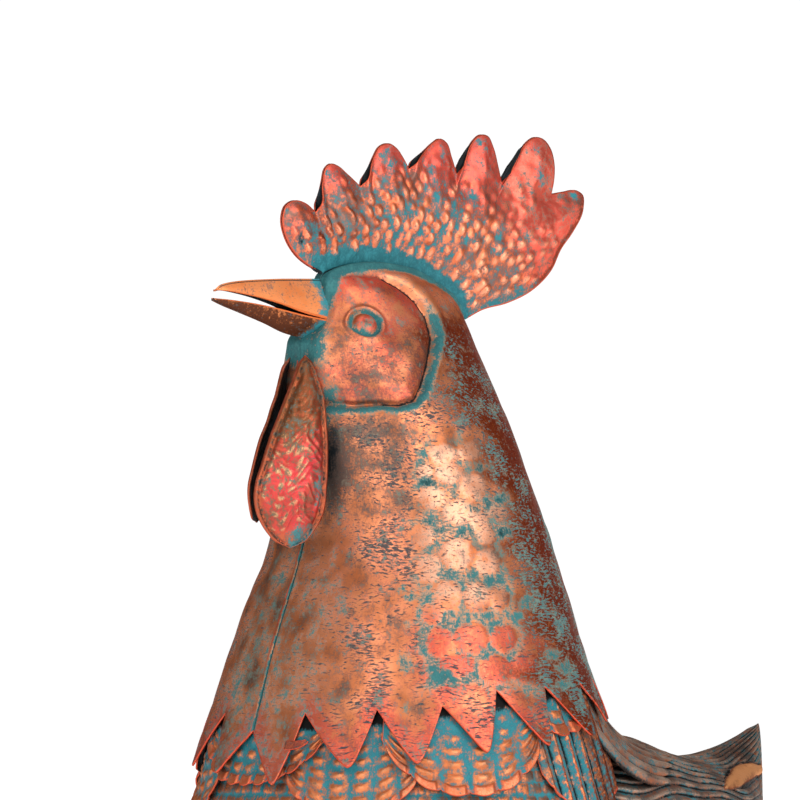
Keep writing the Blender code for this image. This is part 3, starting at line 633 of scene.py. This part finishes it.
def neck_half(word, side):
    """Columns run from the throat's seam to the nape's, rows from the crown to the hem's cut edge."""
    tooth = np.linspace(0, TEETH, TEETH * TOOTH_COLUMNS + 1)
    number = np.clip(np.floor(tooth).astype(int), 0, TEETH - 1)
    share = tooth - number
    first, last = HEM_TURNS[number], HEM_TURNS[number + 1]
    turns = np.radians(first + (last - first) * share)
    crown = CROWN - 12.4 * np.linspace(0, 1, 26) ** 2
    face = np.linspace(215, 160, 85)[1:]
    fixed = np.concatenate([crown, face, np.linspace(160, HEM_TOP, 60)[1:]])
    hem_rows = np.linspace(0, 1, 46)[1:]

    notch = HEM_NOTCHES[number] + (HEM_NOTCHES[number + 1] - HEM_NOTCHES[number]) * share
    point = POINT_HEIGHTS[number] + (SHORT_POINT if side > 0 else 0) * (number == 0)
    drop = (math.hypot(1, BLUNT) - np.hypot(2 * share - 1, BLUNT)) / (math.hypot(1, BLUNT) - BLUNT)
    cut = notch - (notch - point) * drop
    lean = np.radians(POINT_TURNS[number] - (first + last) / 2) * drop
    heights = np.concatenate([
        np.repeat(fixed[:, None], len(turns), axis=1),
        HEM_TOP + (cut - HEM_TOP) * hem_rows[:, None],
    ])
    weight = np.concatenate([np.zeros(len(fixed)), hem_rows**1.6])[:, None]
    turn = np.repeat(turns[None], len(heights), axis=0) + lean * weight
    middle, half_length, half_width = neck_section(heights)
    x = middle - half_length * np.cos(turn)
    across = half_width * np.sin(turn)
    plain = stacked(x, side * across, heights)
    facing = stacked(x - middle, side * across, np.maximum(heights - 200, 0))
    outward = outward_normals(plain, facing)

    view_across = VIEW_COSINE * x + VIEW_SINE * across
    edge = distance_to_outline(view_across, heights, CHEEK_OUTLINE)
    on_face = ease(across, 3.5, 8) * ease(CROWN - heights, 2.5, 7)
    cheek = 1.8 * ease(-edge, 0, 7)
    groove = -2.3 * bell(edge - 0.3, 1.2)
    bank = 1.2 * bell(edge - 4.2, 2)
    eye_away = np.linalg.norm(stacked(x, across, heights) - EYE, axis=-1)
    ball = 2.4 * np.sqrt(np.clip(1 - (eye_away / BALL_RADIUS) ** 2, 0, 1)) - 0.9 * bell(eye_away, 1.3)
    moat = -0.9 * bell(eye_away - MOAT_RADIUS, 0.9)
    lid = bell(eye_away - LID_RADIUS, 0.8)
    on_crest = ease(heights, 203, 209) * ease(x, -50, -44)
    bead = 1.1 * bell(across - 3.4, 1.1) - 0.9 * bell(across - 0.8, 1.2)

    seen_side = ease(across, 12, 30)
    ragged = 0.1 * np.sin(view_across * 1.1 + 2 * np.sin(heights * 0.7)) * np.sin(heights * 0.9)
    nearest = from_spots(view_across, heights, FEATHER_SPOTS).min(axis=-1) + ragged
    feather = fade(nearest, 0.7, 1.25) * seen_side
    in_band = ease(turn, 0.75, 1) * fade(turn, 1.7, 1.95) * ease(heights, 50, 62)
    in_band = in_band * fade(heights, 150, 165) * seen_side
    gap = ease(nearest, 0.95, 1.15) * fade(nearest, 1.5, 2) * fade(turn, 1.5, 1.65)
    low_gaps = fade(heights, 92, 108)
    near_side = ease(across, 1, 3) * (turn < 2.6)
    teal_laid = laid_spots(view_across, heights, TEAL_SPOTS) * near_side
    smoke_and_shade_laid = laid_spots(view_across, heights, SMOKE_AND_SHADE_SPOTS) * near_side
    dints = 0.22 * np.sin(x * 0.31 + 2.1 * np.sin(heights * 0.13)) * np.sin(heights * 0.27 + across * 0.2)
    seam = 0.5 * bell(across - 0.9, 0.7) * fade(heights, 180, 190)
    flare = 1.4 * weight**3 * drop
    relief = on_face * (cheek + groove + bank + ball + moat + lid) * ease(view_across, -46, -34)
    relief = relief + on_crest * bead + 0.4 * in_band * feather + seam + flare
    relief = relief + dints * ease(across, 2, 12)
    points = plain + outward * relief[..., None]
    points[..., 1] = side * np.maximum(side * points[..., 1], 0.15)

    # The hem's rim is a painted highlight along the points' cut edges, full on their front edges and weaker
    # behind
    cut_away = (heights - cut[None]) * np.where(drop > 0.02, 0.6, 1)
    front_edge = np.where(share < 0.5, 1, 0.45)
    rim = fade(cut_away, 0.15, 0.6) * front_edge * (1 - 0.5 * ease(turn, 1.7, 2.2))
    below_beak = ease(heights, 182, 190) * fade(heights, 199, 206)
    below_beak = below_beak * fade(view_across, -37.5, -26.5)
    crest_teal = on_crest * fade(across, 4.5, 7)
    groove_teal = on_face * bell(edge - 2.4, 1.9) * ease(view_across, -40, -30)
    groove_teal = groove_teal * (1 - 0.75 * ease(heights, 203, 212))
    low_side = ease((view_across + 17.4) - (heights - EYE[2]), -9, 3)
    moat_teal = bell(eye_away - 6, 1.2) * (0.75 + 0.25 * low_side)
    beak_teal = fade(view_across, -36, -27.5) * ease(heights, 196, 202)
    seam_teal = bell(across, 1) * (heights < 190)
    # A painted copper highlight along the seam's lip, on the right half's front only
    seam_lip_highlight = 0.9 * bell(across - 1.9, 0.5) * (heights < 188) * (side > 0) * (turn < 1)
    front = fade(turn, 0.25, 0.6)
    patchy = 0.08 + 0.24 * front * fade(heights, 60, 150) + 0.08 * (side > 0) * front
    teal = np.max([
        1.3 * crest_teal, 1.15 * groove_teal, 1.25 * moat_teal, 1.2 * beak_teal, 1.1 * below_beak,
        0.86 * teal_laid, 1.1 * seam_teal, patchy, (0.5 + 0.24 * low_gaps) * gap * in_band,
    ], axis=0)
    teal = teal * (1 - rim)
    low_band = fade(heights, 74, 96)
    flush = bell(view_across + 8, 4) * bell(heights - 193, 9)
    flush = flush + bell(view_across + 21, 9) * bell(heights - 180, 6)
    red = sum([
        0.22, (0.36 + 0.2 * feather) * low_band * in_band,
        0.6 * fade(cut_away, 2, 14) * fade(heights, 45, 66),
        0.22 * ease(heights, 204, 216) * (edge < 0), 0.35 * fade(np.abs(edge + 3), 1, 5),
        0.6 * bell(eye_away, 4.2), (0.42 * flush + 0.16 * (edge < 0)) * on_face,
    ])
    ragged_turn = turn + 0.1 * np.sin(heights * 0.23) + 0.06 * np.sin(heights * 0.61 + turn * 9)
    # Smoke is darker lacquer in patches and also painted shade: under the cheek, on the right half's front,
    # which faces away, and beside the near wattle
    shade_under_cheek = fade(heights, 158, 170) * ease(heights, 112, 140)
    smoke_and_shade = sum([
        0.05, (0.5 + 0.25 * ease(heights, 110, 130)) * smoke_and_shade_laid,
        0.36 * shade_under_cheek * fade(view_across, -2, 10), (0.3 if side > 0 else 0.06) * front,
        0.34 * gap * in_band * (1 - low_gaps), 0.28 * on_face * (edge < 0) * fade(heights, 192, 204),
        0.9 * bell(eye_away, 1.7),
    ])
    strokes = (1.08 + smoke_and_shade_laid - 0.35 * in_band * feather) * (1 - 0.6 * on_face * (edge < 3))
    strokes = strokes * (1 - 0.6 * ease(heights, 190, 204)) * (1 - 0.5 * front)
    strokes = strokes + 0.4 * ease(turn, 1.5, 1.9) * fade(heights, 110, 160)
    name = "head_and_neck_" + word
    press(name + "_sheet", points, facing, neck_metal, (name,), {
        "teal": teal,
        "red": red,
        # Pale lacquer on the feathers, laid only in the band that faces the key light: partly their own
        # colour and partly painted highlight
        "pale": in_band * ((0.08 + 0.66 * feather) * ease(heights, 80, 102) + 0.5 * gap * low_gaps),
        "smoke_and_shade": smoke_and_shade,
        "rear": 1.15 * ease(ragged_turn, 1.32, 2) * fade(heights, 196, 215),
        "strokes": np.clip(strokes, 0, 1.45),
        # Painted shade: a dark line along the cheek's rear edge, the eye's dimple and the near wattle's
        # shadow; it also darkens the teal patches between 90 and 150 mm
        "painted_shade": np.max([
            1.1 * on_face * bell(edge - 0.2, 0.5) * ease(view_across, -20, -5),
            0.6 * bell(eye_away, 1), 0.85 * (smoke_and_shade_laid - 0.35) * (heights > 120),
            0.45 * teal_laid * ease(heights, 90, 115) * (heights < 150) * (edge > 5),
        ], axis=0),
        "rim": np.maximum(1.1 * rim, seam_lip_highlight),
    }, stacked(turn * NECK_GIRTH, heights), SHEET)


neck_half("left", -1)
neck_half("right", 1)

# A torn sliver on the first point's rear edge, curled outwards
u, v = np.meshgrid(np.linspace(0, 1, 25), np.linspace(-1, 1, 13))
width = 1.7 * np.sqrt(np.clip(1 - u**3, 0, 1))
turn = np.radians(13.4 + 7.4 * u - 0.6 * u * v)
height = 34.6 - 0.6 * u + 2.4 * u**2 + width * v
out = 0.6 + 2.2 * u**1.6
middle, half_length, half_width = neck_section(height)
sliver = stacked(
    middle - (half_length + out) * np.cos(turn), -(half_width + out) * np.sin(turn), height,
)
press(
    "hem_sliver", sliver, np.array([-0.9, -0.4, 0]), neck_metal, (),
    {"red": 0.7, "rim": 0.9 * ease(np.abs(v), 0.8, 1), "strokes": 0.5, "smoke_and_shade": 0.3},
    stacked(turn * NECK_GIRTH, height), SHEET,
)

# Comb.
# Two sheets back to back, cut with seven points and beaten out all over in small knobs. They meet at the
# tips and along the crown, and stand apart between. Red lacquer above, teal wash between the knobs.

COMB_COLOURS = dict(
    copper="#C8603C", bright="#EA8860", red="#E45E50", pale="#F09A76", rear="#8A3A26", smoke_and_shade="#7C5C50",
    ink="#5A5250", rear_ink="#4E7C80", teal="#24666F", pale_teal="#37868F", slate="#66706E",
    painted_shade="#101C22", rim="#C85840",
)
# Red lacquer on beaten copper: the eye sees bright knobs on coral red, with blue-green between and below
comb_metal = patinated_copper("red lacquer on beaten copper", COMB_COLOURS, wash=4, rough=0.4)

# Each lobe runs from valley to valley: x, height, and the x on the crown that the sheet springs from, mm
COMB_LOBES = [
    [(-46.4, 223.2, -45.3), (-52.6, 225.6, -45), (-59.7, 230.4, -44.8), (-64.6, 237.1, -44.4),
     (-66.4, 244.2, -44), (-64.6, 249.4, -43.6), (-60.4, 251.6, -43.2), (-54.3, 250.6, -42.6),
     (-48.8, 247, -41.6)],
    [(-48.8, 247, -41.6), (-46.2, 252.4, -40.6), (-45, 259.6, -38.9), (-43.6, 264.4, -37.4),
     (-40.8, 266.4, -36), (-37.2, 265.6, -34), (-32.2, 262.4, -30.8), (-25.2, 257.4, -27)],
    [(-25.2, 257.4, -27), (-21.4, 261.8, -24.6), (-17.8, 269.4, -21.9), (-15, 273.2, -20),
     (-10.3, 274.7, -17.4), (-6.2, 272.9, -14.7), (-2.4, 268.8, -12), (0.5, 264.6, -10)],
    [(0.5, 264.6, -10), (7.9, 270.8, -6.4), (13.4, 275, -3.4), (17, 276.7, -1.4),
     (20.6, 275, 0.7), (23.2, 269.4, 2.6), (25.9, 262.6, 4.4)],
    [(25.9, 262.6, 4.4), (30.9, 269.9, 7), (35.4, 276.4, 9), (38.6, 278.4, 10.5), (42.4, 277.9, 12),
     (45.4, 273.4, 13.4), (47.9, 266, 14.7), (49.8, 259.4, 15.6)],
    [(49.8, 259.4, 15.6), (57.4, 267.9, 17.3), (63.6, 275.6, 18.6), (67.6, 277.6, 19.4),
     (72, 276.8, 20.2), (76, 272.9, 21.2), (78, 266.6, 21.8), (77.8, 260.4, 22.3),
     (76.4, 254.8, 22.8)],
    [(76.4, 254.8, 22.8), (83, 255.7, 23.2), (89.6, 256.3, 23.5), (93.2, 254.4, 23.8),
     (93.4, 248.6, 24), (87.8, 239.4, 24.2), (81.6, 232.6, 24.4), (76.6, 224.4, 24.6),
     (66.4, 216.2, 24.9), (53, 210.9, 25.2), (39, 207.9, 26), (30.5, 204.3, 27.5)],
]
COMB_SWELL = 5  # mm that each sheet stands off the middle plane
COMB_SHEET = 0.6  # mm, beaten thinner than the rest
COMB_BLOTS = np.array([  # x, height, half length and half height of the wash's larger blots, mm
    (-44, 263.6, 2.5, 2.5), (-11.7, 271, 3, 2.5), (-10.5, 265.5, 2.5, 3), (18, 271.2, 2.4, 4),
    (10.6, 262, 2.2, 6), (10.8, 252.5, 2.6, 5), (37.6, 275.6, 3, 2.6), (66.8, 273.2, 3, 2.2),
    (67.3, 262.5, 2.4, 5), (88, 254, 3, 2), (-65.2, 248.6, 2.5, 2.5), (-17.5, 258.4, 3, 3),
    (-1.6, 262.6, 2, 4.5), (-3.7, 253, 2.5, 5), (5.3, 257.2, 2.6, 3), (24.4, 262.6, 1.6, 3),
    (31, 253, 3, 5), (20, 248, 3, 5), (44, 240, 3, 6), (-28, 249, 3, 3),
])
KNOB_FAN = (-8, 178)  # mm, the knobs lie in arcs round this point
KNOB_STEP = 5.4  # mm from knob to knob


def rounded_lobe(lobe, count):
    """A smooth line through a lobe's points: cubic pieces with central slopes, evenly spread."""
    lobe = np.array(lobe)
    far = np.concatenate([[0], np.cumsum(np.hypot(*np.diff(lobe[:, :2], axis=0).T))])
    slope = np.gradient(lobe, far, axis=0)
    where = np.linspace(0, far[-1], count)
    place = np.clip(np.searchsorted(far, where) - 1, 0, len(far) - 2)
    width = (far[place + 1] - far[place])[:, None]
    share = (where - far[place])[:, None] / width
    return cubic(share, width, lobe[place], lobe[place + 1], slope[place], slope[place + 1])


def crown_height(x):
    """Height of the head's top line in the middle plane."""
    heights = np.linspace(198, CROWN, 400)
    middle, half_length, _ = neck_section(heights)
    line = np.concatenate([middle - half_length, (middle + half_length)[::-1]])
    return np.interp(x, line, np.concatenate([heights, heights[::-1]]))


lobe_lines, lobe_shares = [], []
for lobe in COMB_LOBES:
    count = 34 if len(lobe) < 12 else 84
    lobe_lines.append(rounded_lobe(lobe, count)[:-1])
    lobe_shares.append(np.linspace(0, 1, count)[:-1])
comb_edge = np.concatenate(lobe_lines + [np.array(COMB_LOBES[-1][-1:])])
lobe_share = np.concatenate(lobe_shares + [[1]])
lobe_number = np.concatenate([np.full(len(line), k) for k, line in enumerate(lobe_lines)] + [[6]])
foot = np.linspace(27, -45, 20)
comb_outline = np.concatenate([comb_edge[:, :2], np.stack([foot, crown_height(foot)], axis=1)])

chance = np.random.default_rng(7)
knobs = []
for ring, radius in enumerate(np.arange(54, 104, KNOB_STEP)):
    bearing = np.arange(-0.95, 1.45, KNOB_STEP / radius) + (ring % 2) * 0.5 * KNOB_STEP / radius
    bearing = bearing + chance.normal(0, 0.9 / radius, len(bearing))
    reach = radius + chance.normal(0, 1.1, len(bearing))
    knob_x, knob_z = KNOB_FAN[0] + reach * np.sin(bearing), KNOB_FAN[1] + reach * np.cos(bearing)
    knobs.append(np.stack([knob_x, knob_z, bearing], axis=1))
knobs = np.concatenate(knobs)
depth = -distance_to_outline(knobs[:, 0], knobs[:, 1], comb_outline)
fan_reach = np.hypot(knobs[:, 0] - KNOB_FAN[0], knobs[:, 1] - KNOB_FAN[1])
keep = (depth > 3.4) & (chance.random(len(knobs)) > 0.12)
knobs, fan_reach = knobs[keep], fan_reach[keep]
knob_size = np.clip(1.25 - 0.016 * (fan_reach - 60), 0.5, 1.15) * chance.uniform(0.55, 1.2, len(knobs))
knob_length = chance.uniform(1.9, 3.2, len(knobs))

for side, word in SIDES:
    rows = np.linspace(0, 1, 112)[:, None]
    start_x, start_z = comb_edge[:, 2], crown_height(comb_edge[:, 2]) - 0.4
    x = start_x + (comb_edge[:, 0] - start_x) * rows
    z = start_z + (comb_edge[:, 1] - start_z) * rows
    inner = -distance_to_outline(x, z, comb_outline)
    gape = ease(lobe_share, 0, 0.1) * bell(np.maximum(lobe_share - 0.11, 0), 0.13)
    open_edge = np.where(lobe_number == 6, 0, np.where(lobe_number == 0, 0.1, 1.8 * gape))
    open_edge = open_edge * fade(inner, 0.5, 9)
    from_crown = np.hypot(x - start_x, z - start_z)
    swell = COMB_SWELL * ease(from_crown, 0, 17) * ease(inner, 0, 20) ** 0.7
    out = COMB_SHEET + 0.1 + open_edge * ease(from_crown, 0, 12) + swell
    bump = np.zeros_like(x)
    for knob_x, knob_z, bearing, size, length in np.column_stack([knobs, knob_size, knob_length]):
        along = (x - knob_x) * np.sin(bearing) + (z - knob_z) * np.cos(bearing)
        over = (x - knob_x) * np.cos(bearing) - (z - knob_z) * np.sin(bearing)
        bump = np.maximum(bump, size * bell(np.hypot(along / length, over / 1.65), 1, 2.2))
    beaten = 0.35 * np.sin(x * 0.55 + 1.5 * np.sin(z * 0.4)) * np.sin(z * 0.5 + 1.1 * np.sin(x * 0.33))
    out = out + ease(inner, 0.8, 4) * (1.25 * bump + 0.8 * beaten)
    points = stacked(x, side * np.maximum(out, COMB_SHEET + 0.1), z)
    fan = np.hypot(x - KNOB_FAN[0], z - KNOB_FAN[1])
    bearing = np.arctan2(x - KNOB_FAN[0], z - KNOB_FAN[1])
    low_part = fade(from_crown, 3, 8)
    middle_part = fade(fan, 68, 92)
    toward_front = fade(bearing, 0.1, 0.8)
    between = fade(bump, 0.1, 0.55)
    rim = fade(inner, 0.2, 0.7)
    past_base = ease(from_crown, 3, 6)
    teal = 1.25 * low_part + (0.14 + 0.54 * middle_part * (0.6 + 0.4 * toward_front)) * between
    teal = np.maximum(teal, 0.72 * fade(from_crown, 6, 15) * between)
    under_rear = ease(bearing, 0.85, 1.05) * fade(fan, 74, 92)
    teal = np.maximum(teal, 0.95 * past_base * fade(inner, 2, 8) * under_rear)
    rear_edge = fade(inner, 0.8, 4) * ease(bearing, 0.85, 1) * ease(fan, 78, 92)
    blots = (0.72 * bell(from_spots(x, z, COMB_BLOTS), 1)).max(axis=-1)
    teal = np.maximum(teal, blots * (1 - 0.4 * bump))
    brown = bell(x + 49, 7) * bell(z - 238, 6)
    name = "comb_" + word
    press(name + "_sheet", points, np.array([0, side, 0]), comb_metal, (name,), {
        "teal": teal * (1 - rim * past_base),
        "red": 0.3 + 0.75 * ease(fan, 70, 92) - 0.2 * bump,
        "pale": 0.7 * ease(bump, 0.3, 0.9) * (1 - 0.6 * ease(fan, 80, 95))
        + 0.3 * ease(bearing, 0.35, 0.7),
        "rear": 0.75 * brown + 0.5 * between * past_base * fade(fan, 78, 96) + rear_edge,
        # Painted shade: near black where the front lobe's two sheets part; the smoke between the knobs is
        # painted shade as well
        "painted_shade": 0.9 * bell(np.hypot((x + 58) / 1.6, (z - 236.5) / 3.6), 1, 4) * (0.5 + 0.5 * beaten),
        "rim": 1.1 * rim * past_base,
        "smoke_and_shade": 0.12 + 0.4 * brown + 0.34 * between * fade(fan, 84, 98)
        + 0.3 * ease(x, 72, 90) * fade(inner, 2, 9),
    }, stacked(x, z), COMB_SHEET)

# Beak.
# Two folded sheets, open between, pushed against the head and soldered there, where the teal wash
# gathers. Plain copper lacquer, wiped clean on the flat faces.

BEAK_COLOURS = dict(
    copper="#E87C40", bright="#FAA064", red="#D86434", pale="#F4A878", rear="#58301F", smoke_and_shade="#8A5238",
    ink="#5A5250", rear_ink="#5A6060", teal="#2A7680", pale_teal="#46949C", slate="#56747A",
    painted_shade="#101A1E", rim="#D8703C",
)
# Plain copper lacquer: the eye sees a smooth, light orange top and a brown underside, which are painted
# light and painted shade
beak_metal = patinated_copper("plain copper lacquer", BEAK_COLOURS, rough=0.46, metal=0.6, dent=0.1)
BEAK_HALF_WIDTH = 6.9  # mm at the head

# x and height along each fold and rim, from the tip to the head, mm
UPPER_FOLD = np.array([
    (-101.4, 215.9), (-98.4, 217.9), (-89.4, 219.4), (-75.9, 220.1), (-62, 220.4), (-44.5, 220.4),
])
UPPER_RIM = np.array([
    (-101.8, 216), (-96, 215.5), (-84, 213.6), (-71, 210.6), (-58, 206.6), (-43.5, 203.5),
])
LOWER_FOLD = np.array([
    (-102.8, 211.4), (-98, 209.6), (-89.4, 206.9), (-76, 202.6), (-65, 198.6), (-54, 196.4),
])
LOWER_RIM = np.array([
    (-102.8, 212.4), (-97, 212), (-84, 210.6), (-71, 208.4), (-58, 205.7), (-43.5, 203.2),
])
SOFT_FOLD = 0.004  # how far the fold is rounded


def front_of_head(side, height):
    """x of the head's front at a distance from the middle plane and a height: an ellipse."""
    middle, half_length, half_width = neck_section(height)
    return middle - half_length * np.sqrt(np.clip(1 - (side / half_width) ** 2, 0, 1))


def folded_sheet(name, fold, rim):
    """One mandible: rows run from its tip to the head, columns from rim over the fold to rim."""
    rows, columns = np.linspace(0, 1, 110) ** 1.15, np.linspace(-1, 1, 61)
    along, across = np.meshgrid(rows, columns, indexing="ij")
    stations = np.linspace(0, 1, len(fold))
    fold_x, fold_z, rim_x, rim_z = (blend_between(stations, line, along) for line in (*fold.T, *rim.T))
    bend = np.sqrt(across**2 + SOFT_FOLD) - math.sqrt(SOFT_FOLD)
    bend = bend / (math.sqrt(1 + SOFT_FOLD) - math.sqrt(SOFT_FOLD))
    half = BEAK_HALF_WIDTH * (0.05 + 0.95 * along**1.15)
    belly = 0.9 * along * np.sin(math.pi * np.clip(bend, 0, 1))
    y = np.sign(across) * (half * bend + belly)
    z = fold_z + (rim_z - fold_z) * bend
    x = fold_x + (rim_x - fold_x) * bend
    head = front_of_head(np.abs(y), z)
    x = np.where(along > 0.93, np.minimum(x, head + 0.8), x)
    upper = fold[2, 1] > rim[2, 1]
    facing = stacked(0 * x, across, (1 if upper else -1) * (1 - np.abs(across)))
    teal = np.maximum(1.1 - ease(head - x, 1, 8), 0.7 * ease(0.04 - along, 0, 0.03)) - 0.22
    press(name + "_sheet", stacked(x, y, z), facing, beak_metal, (name,), {
        "teal": teal, "smoke_and_shade": -0.1, "red": 0.1, "strokes": 0.1,
        # The upper beak's pale is painted light, and the lower beak's brown, darkest along its fold, is
        # painted shade
        "pale": 0.25 if upper else 0,
        "rear": 0 if upper else 0.75 + 0.5 * (1 - np.abs(across)),
        "rim": 0.9 * fade(1 - np.abs(across), 0.03, 0.09),
    }, stacked(x, z * 2), SHEET)


folded_sheet("upper_beak", UPPER_FOLD, UPPER_RIM)
folded_sheet("lower_beak", LOWER_FOLD, LOWER_RIM)

# Wattles.
# Two teardrop shells hung by their upper ends from the throat, hollow sides facing, each with a turned
# rim and a middle dimpled with a punch. Red lacquer with gold flecks, teal at both ends.

WATTLE_COLOURS = dict(
    copper="#A04A2E", bright="#C06848", red="#D03E44", pale="#D8B484", rear="#7A4A2C", smoke_and_shade="#7A4A3A",
    ink="#5A5250", rear_ink="#4E7C80", teal="#35666C", pale_teal="#4F8486", slate="#6A6A5C",
    painted_shade="#16181A", rim="#B85A40",
)
# Red lacquer with gold flecks: the eye sees a crimson middle freckled with pale gold, brown at the top
wattle_metal = patinated_copper("red lacquer with gold flecks", WATTLE_COLOURS, wash=3, rough=0.4)
WATTLE_SHAPE = np.array([  # share of the length, half width, distance from the middle plane, mm
    (0, 0.05, 4), (0.05, 3.4, 5.6), (0.12, 5.4, 7.5), (0.21, 8, 9.3), (0.33, 10.4, 10.7),
    (0.44, 12.4, 10.7), (0.56, 13.9, 10.4), (0.65, 14.9, 10.2), (0.73, 15.1, 10.1), (0.80, 14.4, 10),
    (0.86, 12.6, 10), (0.92, 9.6, 9.9), (0.97, 5.8, 9.9), (1, 0.05, 9.9),
])
# Share of the length and x of each one's middle line, mm
LEFT_HANG = np.array([
    (0, -57.3), (0.12, -60.1), (0.21, -62.2), (0.33, -65.1), (0.56, -68.4), (0.73, -70.6), (1, -70.5),
])
RIGHT_HANG = np.array([
    (0, -58.6), (0.2, -59.4), (0.36, -61.6), (0.51, -66), (0.66, -69.2), (0.8, -71.9), (1, -73),
])

for side, word, hang, top, length, depth, closer, degrees in (
    (-1, "left", LEFT_HANG, 190, 77, 5.6, 0, 25),
    (1, "right", RIGHT_HANG, 189, 66, 3, 2.4, 35),
):
    rows, columns = np.linspace(0, 1, 121) ** 0.94, np.linspace(-1, 1, 71)
    along, across = np.meshgrid(rows, columns, indexing="ij")
    half, path_side = look_up(WATTLE_SHAPE, along)
    path_side = path_side - closer * ease(along, 0, 0.25)
    dish = depth * (1 - across**2) * np.sin(math.pi * np.clip(along, 0.001, 0.999)) ** 0.6
    from_rim = half * (1 - np.abs(across))
    lip = 0.9 * bell(from_rim - 0.8, 0.7) * ease(half, 1, 4)
    trough = 0.5 * bell(from_rim - 2.6, 0.8) * ease(half, 3, 6)
    down, over = along * length, half * across
    rolled = down + 2.4 * np.sin(over * 0.43 + 1.3 * np.sin(down * 0.23))
    dimple = np.sin(rolled) * np.sin(over / 1.25 + 2.4 * np.sin(down * 0.39 + 1.7 * np.sin(over * 0.31)))
    punched = ease(from_rim, 1.6, 4) * ease(along, 0.1, 0.3) * fade(along, 0.88, 0.96)
    out = dish + lip + 0.4 * dimple * punched - trough
    swing = math.radians(degrees)
    x = look_up(hang, along)[0] + over * math.cos(swing) - out * math.sin(swing)
    y = path_side + over * math.sin(swing) + out * math.cos(swing)
    points = stacked(x, side * y, top - down)
    facing = np.array([-math.sin(swing), side * math.cos(swing), 0])
    toward_beak = 0.5 - 0.5 * across
    gold = (0.2 + 0.6 * ease(dimple, 0.1, 0.8)) * (0.3 + 0.95 * toward_beak) * ease(along, 0.2, 0.35)
    name = "wattle_" + word
    press(name + "_sheet", points, facing, wattle_metal, (name,), {
        "teal": np.max([
            0.3 * fade(along, 0.2, 0.4) * ease(across, -0.4, 0.4),
            0.9 * ease(along, 0.83, 0.94) * ease(across, -0.55, 0.35),
            0.75 * bell(across - 0.72, 0.16) * bell(along - 0.7, 0.1), 0.06 + 0.16 * toward_beak,
        ], axis=0),
        "red": 0.2 + (0.3 + 0.6 * ease(along, 0.25, 0.55)) * punched * (1 - 0.35 * toward_beak),
        "pale": punched * gold, "rear": 0.55 * fade(along, 0.3, 0.6) + 0.35 * toward_beak,
        # Painted shade in the trough inside the rim
        "painted_shade": 0.5 * bell(from_rim - 2, 0.8), "rim": 0.8 * bell(from_rim - 0.4, 0.5),
        "smoke_and_shade": 0.3, "strokes": 0.1,
    }, stacked(over, -down), SHEET)

# Floor, light and camera.
# A pale floor, a white room, one large soft light beside the camera and a weaker one across from it.

FLOOR_REACH = 9  # m from its middle to each side
floor_material = bpy.data.materials.new("pale matt floor")
floor_material.use_nodes = True
floor_shader = floor_material.node_tree.nodes["Principled BSDF"]
floor_shader.inputs["Base Color"].default_value = (0.86, 0.86, 0.86, 1)
floor_shader.inputs["Roughness"].default_value = 0.9
floor_shader.inputs["Emission Color"].default_value = (1, 1, 1, 1)
floor_shader.inputs["Emission Strength"].default_value = 0.8
floor_mesh = bpy.data.meshes.new("floor")
corners = [(FLOOR_REACH * x, FLOOR_REACH * y, 0) for x, y in ((-1, -1), (1, -1), (1, 1), (-1, 1))]
floor_mesh.from_pydata(corners, [], [(0, 1, 2, 3)])
floor_mesh.materials.append(floor_material)
floor = bpy.data.objects.new("floor", floor_mesh)
bpy.context.scene.collection.objects.link(floor)
floor.location.z = -0.0005  # m, just clear of the cut

world = bpy.data.worlds.new("white room")
bpy.context.scene.world = world
world.use_nodes = True
sky = world.node_tree
backdrop = sky.nodes["Background"]
backdrop.inputs["Color"].default_value = (1, 1, 1, 1)
# The camera sees the room nearly white, while it lights the metal only a little
seen = add(sky, "LightPath", out="Is Camera Ray")
sky.links.new(ramp(sky, seen, 0, 1, 0.24, 1.05), backdrop.inputs["Strength"])


def soft_light(name, direction, distance, width, height, power):
    """A flat rectangle of light that looks at the middle of the neck from a direction."""
    lamp = bpy.data.lights.new(name, "AREA")
    lamp.shape = "RECTANGLE"
    lamp.size, lamp.size_y, lamp.energy = width, height, power
    thing = bpy.data.objects.new(name, lamp)
    bpy.context.scene.collection.objects.link(thing)
    aim = np.array([0, 0, 0.13])
    away = np.array(direction) / np.linalg.norm(direction)
    thing.location = aim + distance * away
    thing.rotation_euler = Vector(away).to_track_quat("Z", "Y").to_euler()


soft_light("key", (0.02, -1, 0.4), 1.7, 0.9, 1.4, 16.5)
soft_light("fill", (-0.92, -0.5, 0.4), 1.8, 0.9, 1.2, 10)
soft_light("top", (-0.2, -0.3, 1), 1.8, 1, 1, 7)
soft_light("rear", (0.9, 0.5, 0.3), 2, 0.7, 1.3, 2.5)

VIEW_TURN = math.radians(-41)
VIEW_DISTANCE = 12  # m
FRAME_WIDTH = 0.320  # m across the picture at the neck's axis
AIM_HEIGHT, AIM_LEFT = 0.172, 0.0028  # m, the picture's middle, from the neck's axis on the floor
camera = bpy.data.cameras.new("camera")
camera.sensor_width = 36
camera.lens = camera.sensor_width * VIEW_DISTANCE / FRAME_WIDTH
camera.clip_end = 100
camera_object = bpy.data.objects.new("camera", camera)
bpy.context.scene.collection.objects.link(camera_object)
right = np.array([math.cos(VIEW_TURN), math.sin(VIEW_TURN), 0])
back = np.array([math.sin(VIEW_TURN), -math.cos(VIEW_TURN), 0])
camera_object.location = np.array([0, 0, AIM_HEIGHT]) - AIM_LEFT * right + VIEW_DISTANCE * back
camera_object.rotation_euler = (math.pi / 2, 0, VIEW_TURN)
bpy.context.scene.camera = camera_object
bpy.context.scene.view_settings.view_transform = "Standard"
